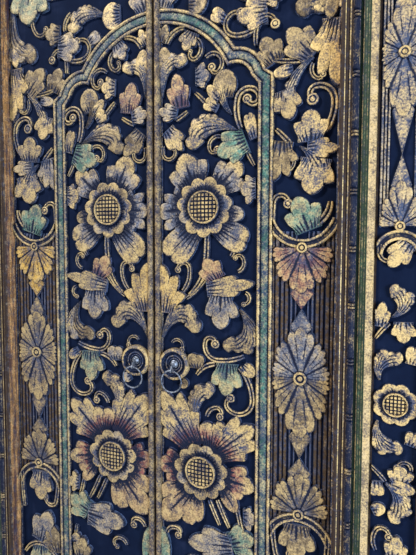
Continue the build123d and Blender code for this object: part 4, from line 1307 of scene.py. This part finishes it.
def lathe(name, profile, place, steps, axis="Y"):
    """Spins a closed profile of (radius, way along the axis) in millimetres, then places it."""
    mesh = bpy.data.meshes.new(name)
    points = [(radius * MM, way * MM, 0.0) if axis == "Y" else (way * MM, radius * MM, 0.0)
              for radius, way in profile]
    mesh.from_pydata(points, [(k, (k + 1) % len(profile)) for k in range(len(profile))], [])
    piece = bpy.data.objects.new(name, mesh)
    bpy.context.scene.collection.objects.link(piece)
    only(piece)
    bpy.ops.object.mode_set(mode="EDIT")
    bpy.ops.mesh.select_all(action="SELECT")
    bpy.ops.mesh.spin(
        steps=steps, angle=2 * math.pi, center=(0, 0, 0),
        axis=(0, 1, 0) if axis == "Y" else (1, 0, 0), use_auto_merge=True)
    bpy.ops.mesh.select_all(action="SELECT")
    bpy.ops.mesh.remove_doubles(threshold=0.00001)
    bpy.ops.mesh.normals_make_consistent(inside=False)
    bpy.ops.object.mode_set(mode="OBJECT")
    piece.location = [value * MM for value in place]
    bpy.ops.object.transform_apply(location=True, rotation=True, scale=True)
    return piece


# %% [markdown]
# ### Paint of the boards, and gilding of plain mouldings
#
# The ground between the motifs is dark paint with tool marks, and a little dust lies on the
# tops of the grain. A plain moulding uses the gilding group with one exposure for the whole
# of it, and its noise alone wears it unevenly.


# %% Materials of boards and plain mouldings
def painted_board():
    made, tree, shader = new_material("dark_ground")
    grain = use_group(tree, GRAIN).outputs["Grain"]
    cloud = noise(tree, 22.0, 4.0, 0.6)
    colour = mix_colour(tree, cloud, (0.0024, 0.0052, 0.0190), (0.0066, 0.0140, 0.0410))
    dust = times(tree, stretch(tree, plus(tree, grain, cloud), 1.05, 1.45), 0.4)
    colour = mix_colour(tree, dust, colour, (0.020, 0.028, 0.070))
    tree.links.new(colour, shader.inputs["Base Color"])
    shader.inputs["Roughness"].default_value = 0.80
    shader.inputs["Specular IOR Level"].default_value = 0.05
    bump(tree, shader, grain, 0.4, 0.0008)
    return made


def gilded(name, gilt, exposed, wash, strength):
    made, tree, shader = new_material(name)
    gilding = use_group(tree, GILDING)
    for place, value in enumerate((gilt, exposed, WASHES[wash], strength)):
        feed(tree, gilding, place, value)
    gild(tree, shader, gilding)
    return made


BOARD = painted_board()
BEADS = gilded("bead_gilding", gilt=0.72, exposed=0.84, wash="brown", strength=0.50)
print("materials:", BOARD.name, "and", BEADS.name)

# %% [markdown]
# ### Paint of the frame
#
# Each moulding run on the frame has its own colour: brown lip, green cyma, gold flat, brown
# outer band, with gilded arrises between them. They follow the opening all the way round,
# so the distance from it picks the colour on a ramp. The lip's reveal is worn down to the
# wood, and the back of the frame is plain brown.

# %% The frame's paint, by the distance from the opening in millimetres
# Half the opening's width and its height, and the front and depth of the lip, in metres
OPEN_X, OPEN_Z, LIP_FRONT, FACE_BACK = 0.451, 2.074, -0.0288, 0.0058
FRAME_WIDE = 204.0
WORN_LIP = (0.130, 0.070, 0.085), (0.800, 0.420, 0.150)
BROWN, GREEN, TAN = (0.074, 0.047, 0.036), (0.070, 0.125, 0.085), (0.43, 0.325, 0.19)
FRAME_GILT = [
    (0, 0.60), (2, 0.02), (9, 0.92), (11, 0.10), (19, 0.85), (21, 0.15), (24, 0.0), (39, 0.10),
    (45, 0.85), (47, 0.25), (50, 0.62), (52, 0.20), (55, 0.75), (57, 0.25), (61, 0.88),
    (76, 0.0), (172, 0.6), (174, 0.25), (194, 0.7), (196, 0.2)]
FRAME_WASH = [
    (0, 0.6), (2, 0.80), (9, 0.0), (11, 0.9), (19, 0.1), (21, 0.9), (39, 0.9), (45, 0.1),
    (47, 0.9), (50, 0.5), (52, 0.9), (55, 0.4), (57, 0.8), (61, 0.40), (76, 0.9), (172, 0.2),
    (174, 0.9), (194, 0.2), (196, 0.9)]
FRAME_TINT = [(0, BROWN), (39, GREEN), (61, TAN), (76, BROWN)]


def ramp(tree, value, stops, full=1.0):
    """Colours or levels in steps along a value from 0 to 1, for stops from 0 to full."""
    made = node(tree, "ShaderNodeValToRGB")
    made.color_ramp.interpolation = "CONSTANT"
    points = made.color_ramp.elements
    while len(points) < len(stops):
        points.new(1.0)
    for point, (place, colour) in zip(points, stops):
        point.position = place / full
        point.color = (*colour, 1.0) if isinstance(colour, tuple) else (colour,) * 3 + (1.0,)
    tree.links.new(value, made.inputs[0])
    return made.outputs[0]


def frame_paint():
    made, tree, shader = new_material("frame_paint")
    x, y, z = object_axes(tree)
    across = minus(tree, math_node(tree, "ABSOLUTE", x), OPEN_X)
    place = math_node(tree, "MAXIMUM", across, minus(tree, z, OPEN_Z))
    place = math_node(tree, "DIVIDE", place, FRAME_WIDE * MM)
    deep = math_node(tree, "GREATER_THAN", y, LIP_FRONT)
    reveal = times(tree, deep, math_node(tree, "LESS_THAN", place, 0.015))
    front = math_node(tree, "LESS_THAN", y, FACE_BACK)
    streaks = noise(tree, 90.0, 5.0, 0.65, (1.0, 1.0, 0.07))
    gilt = plus(tree, ramp(tree, place, FRAME_GILT, FRAME_WIDE), times(tree, streaks, 1.6))
    gilt = times(tree, minus(tree, gilt, 0.80), front)
    face = mix_colour(tree, front, BROWN, ramp(tree, place, FRAME_TINT, FRAME_WIDE))
    worn = mix_colour(tree, stretch(tree, streaks, 0.36, 0.64), *WORN_LIP)
    tint = mix_colour(tree, reveal, face, worn)
    wash = times(tree, ramp(tree, place, FRAME_WASH, FRAME_WIDE), 1.7)
    wash = math_node(tree, "MAXIMUM", wash, times(tree, reveal, 0.8))
    gilding = use_group(tree, GILDING)
    for number, value in enumerate((gilt, 0.95, tint, wash)):
        feed(tree, gilding, number, value)
    gild(tree, shader, gilding, height=plus(tree, gilding.outputs["Height"], streaks))
    return made


FRAME_PAINT = frame_paint()
print("frame painted in", len(FRAME_GILT), "bands")

# %% [markdown]
# ### Finishes of the ring pulls
#
# The plate's rim and crests are gilded, and its grooves have kept the dark paint, so the
# distance from the plate's middle picks both. The iron is bare, dull and scratched, and
# darker in some patches than in others.

# %% Materials of plate and ring
# The ring's plate: its middle from the meeting line and the floor, and its radius
PULL_X, PULL_Z, PLATE_R = 55.0, 1051.0, 40.0
PLATE_GILT = [(0.0, 0.05), (0.34, 0.42), (0.39, 0.10), (0.51, 0.45), (0.56, 0.10), (0.82, 0.78)]
PLATE_SHOWN = [(0.0, 0.1), (0.34, 0.8), (0.39, 0.30), (0.51, 0.9), (0.56, 0.45), (0.82, 0.98)]
IRON = (0.07, 0.085, 0.12), (0.34, 0.38, 0.46)


def plate_paint():
    made, tree, shader = new_material("plate_paint")
    x, _, z = object_axes(tree)
    across = minus(tree, math_node(tree, "ABSOLUTE", x), PULL_X * MM)
    up = minus(tree, z, PULL_Z * MM)
    far = math_node(tree, "SQRT", plus(tree, times(tree, across, across), times(tree, up, up)))
    far = math_node(tree, "DIVIDE", far, PLATE_R * MM)
    gilding = use_group(tree, GILDING)
    for number, stops in enumerate((PLATE_GILT, PLATE_SHOWN)):
        tree.links.new(ramp(tree, far, stops), gilding.inputs[number])
    gild(tree, shader, gilding)
    return made


def steel():
    made, tree, shader = new_material("ring_steel")
    cloud = noise(tree, 120.0, 4.0, 0.6)
    colour = mix_colour(tree, stretch(tree, cloud, 0.35, 0.65), *IRON)
    tree.links.new(colour, shader.inputs["Base Color"])
    shader.inputs["Metallic"].default_value = 0.9
    tree.links.new(stretch(tree, cloud, -0.6, 1.6), shader.inputs["Roughness"])
    bump(tree, shader, noise(tree, 900.0, 2.0, 0.6), 0.2, 0.0002)
    return made


PLATE = plate_paint()
STEEL = steel()
print("materials:", ", ".join(m.name for m in bpy.data.materials if m.users))

# %% [markdown]
# ### The boards of the leaves
#
# A leaf is one plank that turns on two pivots cut from its own heel. A cube is sized as the
# plank, its heel is rounded about the pivots by a bevel of ten segments, and the pivots are
# cylinders joined to it. Its meeting edge leans, so that the leaves pass each other.

# %% Boards of the leaves
# A hair under the solid's size, so that the facets stay clear of the frame as it turns
BOARD_X, BOARD_Y, BOARD_Z = (0.0012, 0.4568), (0.0062, 0.0458), (0.063, 2.080)
HEEL_ROUND, LEAN = 0.0197, 0.0023
PIVOT_X, PIVOT_Y, PIVOT_R, PIVOT_LONG, PIVOT_OUT = 0.437, 0.026, 0.0148, 0.036, 0.016


def is_heel(a, b):
    return a.x > 0.45 and b.x > 0.45 and abs(a.z - b.z) > 1.0


for name, side in SIDES.items():
    board = block(f"leaf_board_{name}", BOARD_X, BOARD_Y, BOARD_Z)
    pick(board, "VERT", lambda a: a.x < 0.1 and a.y < 0.02)
    bpy.ops.transform.translate(value=(LEAN, 0, 0))
    bpy.ops.object.mode_set(mode="OBJECT")
    round_edges(board, HEEL_ROUND, 10, is_heel)
    pivots = []
    for end in (BOARD_Z[0] - PIVOT_OUT, BOARD_Z[1] + PIVOT_OUT):
        bpy.ops.mesh.primitive_cylinder_add(
            vertices=40, radius=PIVOT_R, depth=PIVOT_LONG, location=(PIVOT_X, PIVOT_Y, end))
        pivots.append(bpy.context.object)
    board = join([board, *pivots], f"leaf_board_{name}")
    board.scale = (side, 1, 1)
    only(board)
    bpy.ops.object.transform_apply(location=True, rotation=True, scale=True)
    if side < 0:
        board.data.flip_normals()
    finish_piece(board, f"leaf_{name}", BOARD, [f"leaf_carved_{name}"])

# %% [markdown]
# ### Meeting beads
#
# A half-round bead runs up the meeting edge of each leaf and hides the joint. It stops at
# the ring's plate, so a cylinder is taken away from it there.

# %% Meeting beads
MEETING_X, MEETING_Y, MEETING_Z = (0.0035, 0.0175), (-0.010, 0.006), (0.076, 2.071)
MEETING_ROUND = 0.0069
for name, side in SIDES.items():
    bead = block(f"meeting_round_{name}", mirrored(MEETING_X, side), MEETING_Y, MEETING_Z)
    round_edges(bead, MEETING_ROUND, 7,
                lambda a, b: a.y < 0 and b.y < 0 and abs(a.z - b.z) > 1.0)
    bpy.ops.mesh.primitive_cylinder_add(
        vertices=64, radius=PLATE_R * MM + 0.0002, depth=0.06,
        location=(side * PULL_X * MM, -0.005, PULL_Z * MM), rotation=(math.radians(90), 0, 0))
    cutter = bpy.context.object
    only(bead)
    hole = bead.modifiers.new("seat", "BOOLEAN")
    hole.object, hole.operation, hole.solver = cutter, "DIFFERENCE", "EXACT"
    bpy.ops.object.modifier_apply(modifier=hole.name)
    bpy.data.objects.remove(cutter)
    finish_piece(bead, f"leaf_{name}", BEADS, [f"meeting_bead_{name}"])

# %% [markdown]
# ### Ring pulls
#
# The plate is turned, and so are the knob in its middle and the eye below the knob, so each
# is a profile spun round. A short tongue joins knob and eye, a tang holds the knob in the
# leaf, and the ring is a torus that hangs in the eye and moves by itself.

# %% Ring pulls: turned plate, iron knob with its eye, and the ring
PLATE_PROFILE = [
    (5.4, 6), (40, 6), (40, -4), (39.4, -6.6), (37.4, -9.2), (34.6, -10), (31.4, -9.3),
    (29.0, -6.4), (28.0, -3.0), (26.6, -1.7), (25.0, -2.4), (23.4, -4.3), (21.6, -5.0),
    (19.8, -4.3), (18.2, -2.4), (16.8, -1.5), (15.6, -2.2), (14.4, -2.8), (13.2, -1.6),
    (12.0, 0.0), (5.4, 0.0)]
KNOB_PROFILE = [
    (0, 0.4), (10.8, 0.4), (11, -1.6), (10.4, -3.4), (8.4, -4.2), (7.8, -5.0), (8.2, -6.4),
    (6.8, -8.4), (4.0, -9.7), (0, -10.0)]
EYE_PROFILE = [
    (2.7, -1.6), (3.2, -2.3), (4.5, -2.3), (5.0, -1.6), (5.0, 1.6), (4.5, 2.3), (3.2, 2.3),
    (2.7, 1.6)]
EYE_Y, EYE_Z, RING_R, RING_WIRE = -20.0, 1038.0, 27.0, 2.0
# Tongue and tang: half their width, and their extents along Y and Z, in metres
TONGUE = (0.0023, (-0.0215, -0.005), (1.0415, 1.0500))
TANG = (0.0035, (-0.001, 0.034), (1.0475, 1.0545))


def bar(name, middle, half, through, up):
    return block(name, (middle - half, middle + half), through, up)


for name, side in SIDES.items():
    x = side * PULL_X
    plate = lathe(f"ring_plate_{name}", PLATE_PROFILE, (x, 0, PULL_Z), 64)
    finish_piece(plate, f"leaf_{name}", PLATE, [f"ring_boss_{name}"])
    knob = lathe(f"knob_{name}", KNOB_PROFILE, (x, 0, PULL_Z), 40)
    eye = lathe(f"eye_{name}", EYE_PROFILE, (x, EYE_Y, EYE_Z), 32, axis="X")
    tongue = bar(f"tongue_{name}", x * MM, *TONGUE)
    bevel(tongue, 0.0012)
    tang = bar(f"tang_{name}", x * MM, *TANG)
    knob = join([knob, eye, tongue, tang], f"ring_knob_{name}")
    finish_piece(knob, f"leaf_{name}", STEEL, [f"ring_eye_{name}"])
    bpy.ops.mesh.primitive_torus_add(
        major_radius=RING_R * MM, minor_radius=RING_WIRE * MM, major_segments=80,
        minor_segments=16, location=(x * MM, EYE_Y * MM, (EYE_Z - RING_R) * MM),
        rotation=(math.radians(90), 0, 0))
    ring = bpy.context.object
    ring.name = f"ring_{name}"
    finish_piece(ring, f"ring_{name}", STEEL, [f"pull_ring_{name}"])

# %% [markdown]
# ### Bead and reel
#
# Between the lip and the carved strip each jamb has a turned row: long beads with two small
# reels between them. Every bead is a half-round grid whose ends are drawn in, and it shows
# most of its gold along two worn lines. A thin backing closes the gaps between them.

# %% Bead-and-reel of the jambs
ROW_MIDDLE, ROW_HALF, ROW_EDGES, ROW_GROUND = 483.5, 7.1, (476.3, 490.7), -29.0
BEADS_UP, BEAD_FOOT, BEAD_PITCH, BEAD_LONG = 17, 29.5, 120, 103
REELS_AT, REEL_HALF = (108.0, 115.0), 2.4
ROW_ACROSS = np.array([-1.0, -0.92, -0.75, -0.50, -0.25, 0.0, 0.25, 0.50, 0.75, 0.92, 1.0])
ROW_ROUND = np.sqrt(np.clip(1 - 0.96 * ROW_ACROSS**2, 0, 1))
# How far a bead is drawn in, from its foot to its head
DRAWN_IN = np.array([0.45, 0.82, 1.0, 1.0, 1.0, 1.0, 0.82, 0.45])
BACKING_X, BACKING_Y, BACKING_Z = (0.4762, 0.4908), (-0.029, -0.025), (0.0, 2.099)


def turned(carver, low, high, height, ends, gilt, crest):
    """A half-round length whose ends are drawn in."""
    span = high - low
    stops = np.array([0.0, 0.25 * ends, ends, span / 3, 2 * span / 3, span - ends,
                      span - 0.25 * ends, span])
    scale = DRAWN_IN[:, None]
    px = ROW_MIDDLE + ROW_HALF * ROW_ACROSS[None, :] * (0.6 + 0.4 * scale)
    body = 0.4 + (height - 0.4) * ROW_ROUND[None, :] * scale
    line = ridge(np.abs(ROW_ACROSS), 0.90, 0.10)[None, :]
    shown = crest * (0.35 + 0.65 * np.maximum(line, 1.4 * crest - 1)) * (0.5 + 0.5 * scale)
    carver.add(px, low + stops[:, None], body, gilt, shown, ("brown", 0.5))


def bead_and_reel(name, side):
    carver = Carver(f"bead_and_reel_{name}", ROW_GROUND, side, edges=ROW_EDGES)
    for k in range(BEADS_UP):
        low = BEAD_FOOT + BEAD_PITCH * k
        turned(carver, low, low + BEAD_LONG, 9.0, 5.0, 0.62, 0.84)
        for mid in (REELS_AT if k < BEADS_UP - 1 else ()):
            turned(carver, low + mid - REEL_HALF, low + mid + REEL_HALF, 8.0, 1.4, 0.9, 1.0)
    carver.finish("frame", [f"jamb_bead_and_reel_{name}"])
    back = block(f"bead_backing_{name}", mirrored(BACKING_X, side), BACKING_Y, BACKING_Z)
    finish_piece(back, "frame", BOARD, [f"jamb_bead_and_reel_{name}"])


for name, side in SIDES.items():
    bead_and_reel(name, side)

# %% [markdown]
# ### Plain boards of the frame
#
# Thin boards are the ground of the carved strips. Over the door the photograph shows no
# carving, so the frieze there is a plain board with its edges broken, and the round moulding
# below it is a bar with two rounded edges.

# %% Boards behind the carved strips, and the plain pieces over the door
STRIP_EDGES, STRIP_DEEP, STRIP_UP = (0.5322, 0.6198), (-0.030, -0.026), (0.0, 2.155)
HEAD_HALF, HEAD_UP = 0.6198, (2.1552, 2.2428)
ROUND_HALF, ROUND_DEEP, ROUND_UP = 0.4762, (-0.038, -0.025), (2.0992, 2.1138)
ROUND_EDGE = 0.0070
for name, side in SIDES.items():
    strip = block(f"strip_board_{name}", mirrored(STRIP_EDGES, side), STRIP_DEEP, STRIP_UP)
    finish_piece(strip, "frame", BOARD, [f"jamb_carved_strip_{name}"])
over = block("head_frieze_board", (-HEAD_HALF, HEAD_HALF), STRIP_DEEP, HEAD_UP)
bevel(over, 0.0008)
finish_piece(over, "frame", BOARD, ["head_frieze"])
bar_over = block("head_round", (-ROUND_HALF, ROUND_HALF), ROUND_DEEP, ROUND_UP)
round_edges(bar_over, ROUND_EDGE, 7,
            lambda a, b: a.y < -0.03 and b.y < -0.03 and abs(a.x - b.x) > 0.5)
finish_piece(bar_over, "frame", BEADS, ["head_round_moulding"])

# %% [markdown]
# ### The frame
#
# Jambs, head and sill have their mouldings in the solid model already, at their full form.
# They stay as they are and only take the frame's paint.

# %% Frame members that stay as modelled
for name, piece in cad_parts.items():
    if piece.hide_render:
        continue
    for place in piece.material_slots:
        place.material = FRAME_PAINT
    print("kept as modelled:", name)

# %% [markdown]
# ## Camera and light
#
# The camera stands where the photograph was taken from: to the right of the door, a little
# above the rings, turned left and slightly down. Its place, angles and lens were worked out
# from the straight edges of frame and leaves.

# %% Camera
camera = bpy.data.objects.new("camera", bpy.data.cameras.new("camera"))
bpy.context.scene.collection.objects.link(camera)
bpy.context.scene.camera = camera
camera.data.sensor_fit = "VERTICAL"
camera.data.sensor_height = 36.0
camera.data.lens = 32.44
yaw, pitch, roll = 0.37989, 0.06554, 0.00225
forward = Vector((
    -math.sin(yaw) * math.cos(pitch), math.cos(yaw) * math.cos(pitch), -math.sin(pitch)))
right = Vector((math.cos(yaw), math.sin(yaw), 0.0))
above = right.cross(forward)
tilted_right = right * math.cos(roll) + above * math.sin(roll)
tilted_above = above * math.cos(roll) - right * math.sin(roll)
turn = Matrix((tilted_right, tilted_above, -forward)).transposed()
camera.matrix_world = turn.to_4x4()
camera.location = (0.592, -1.120, 1.350)
print("camera at", tuple(camera.location))

# %% [markdown]
# ### Floor and backdrop
#
# A pale floor and a white backdrop keep the door by itself. The backdrop gives less light
# than the camera sees in it, or it would wash out the carving's shadows.


# %% Floor and backdrop
def pale(name, colour):
    made, tree, shader = new_material(name)
    darker = tuple(part * 0.96 for part in colour)
    tree.links.new(mix_colour(tree, noise(tree, 3.0, 2.0), colour, darker),
                   shader.inputs["Base Color"])
    shader.inputs["Roughness"].default_value = 0.8
    return made


bpy.ops.mesh.primitive_plane_add(size=8.0, location=(0, 0, 0))
floor = bpy.context.object
floor.name = "floor"
floor.data.materials.append(pale("pale_floor", (0.75, 0.75, 0.75)))

world = bpy.context.scene.world or bpy.data.worlds.new("world")
bpy.context.scene.world = world
world.use_nodes = True
tree = world.node_tree
backdrop = tree.nodes["Background"]
seen = node(tree, "ShaderNodeLightPath").outputs["Is Camera Ray"]
strength = math_node(tree, "ADD", 0.20, times(tree, seen, 0.8), clamp=True)
tree.links.new(strength, backdrop.inputs["Strength"])
backdrop.inputs["Color"].default_value = (1.0, 1.0, 1.0, 1.0)
print("floor", floor.dimensions.x, "m wide")

# %% [markdown]
# ### Lamps
#
# The light in the photograph is soft and comes from high on the left, with a bluish rim on
# the right. A warm area lamp is the key, and a weaker cool one on the right gives the rim.


# %% Lamps
def lamp(name, place, size, power, colour, aim=(0.2, 0.0, 1.2)):
    data = bpy.data.lights.new(name, "AREA")
    data.shape = "RECTANGLE"
    data.size = data.size_y = size
    data.energy = power
    data.color = colour
    made = bpy.data.objects.new(name, data)
    bpy.context.scene.collection.objects.link(made)
    made.location = place
    made.rotation_euler = (Vector(aim) - Vector(place)).to_track_quat("-Z", "Y").to_euler()
    print("lamp:", name, power, "W")


lamp("key", (-2.2, -3.2, 4.6), 0.8, 265.0, (1.0, 0.97, 0.92))
lamp("fill", (2.6, -1.6, 1.2), 0.9, 95.0, (0.72, 0.85, 1.0))

# %% How the colours are shown, and the end
bpy.context.scene.view_settings.view_transform = "Standard"
bpy.context.scene.view_settings.exposure = 0.0
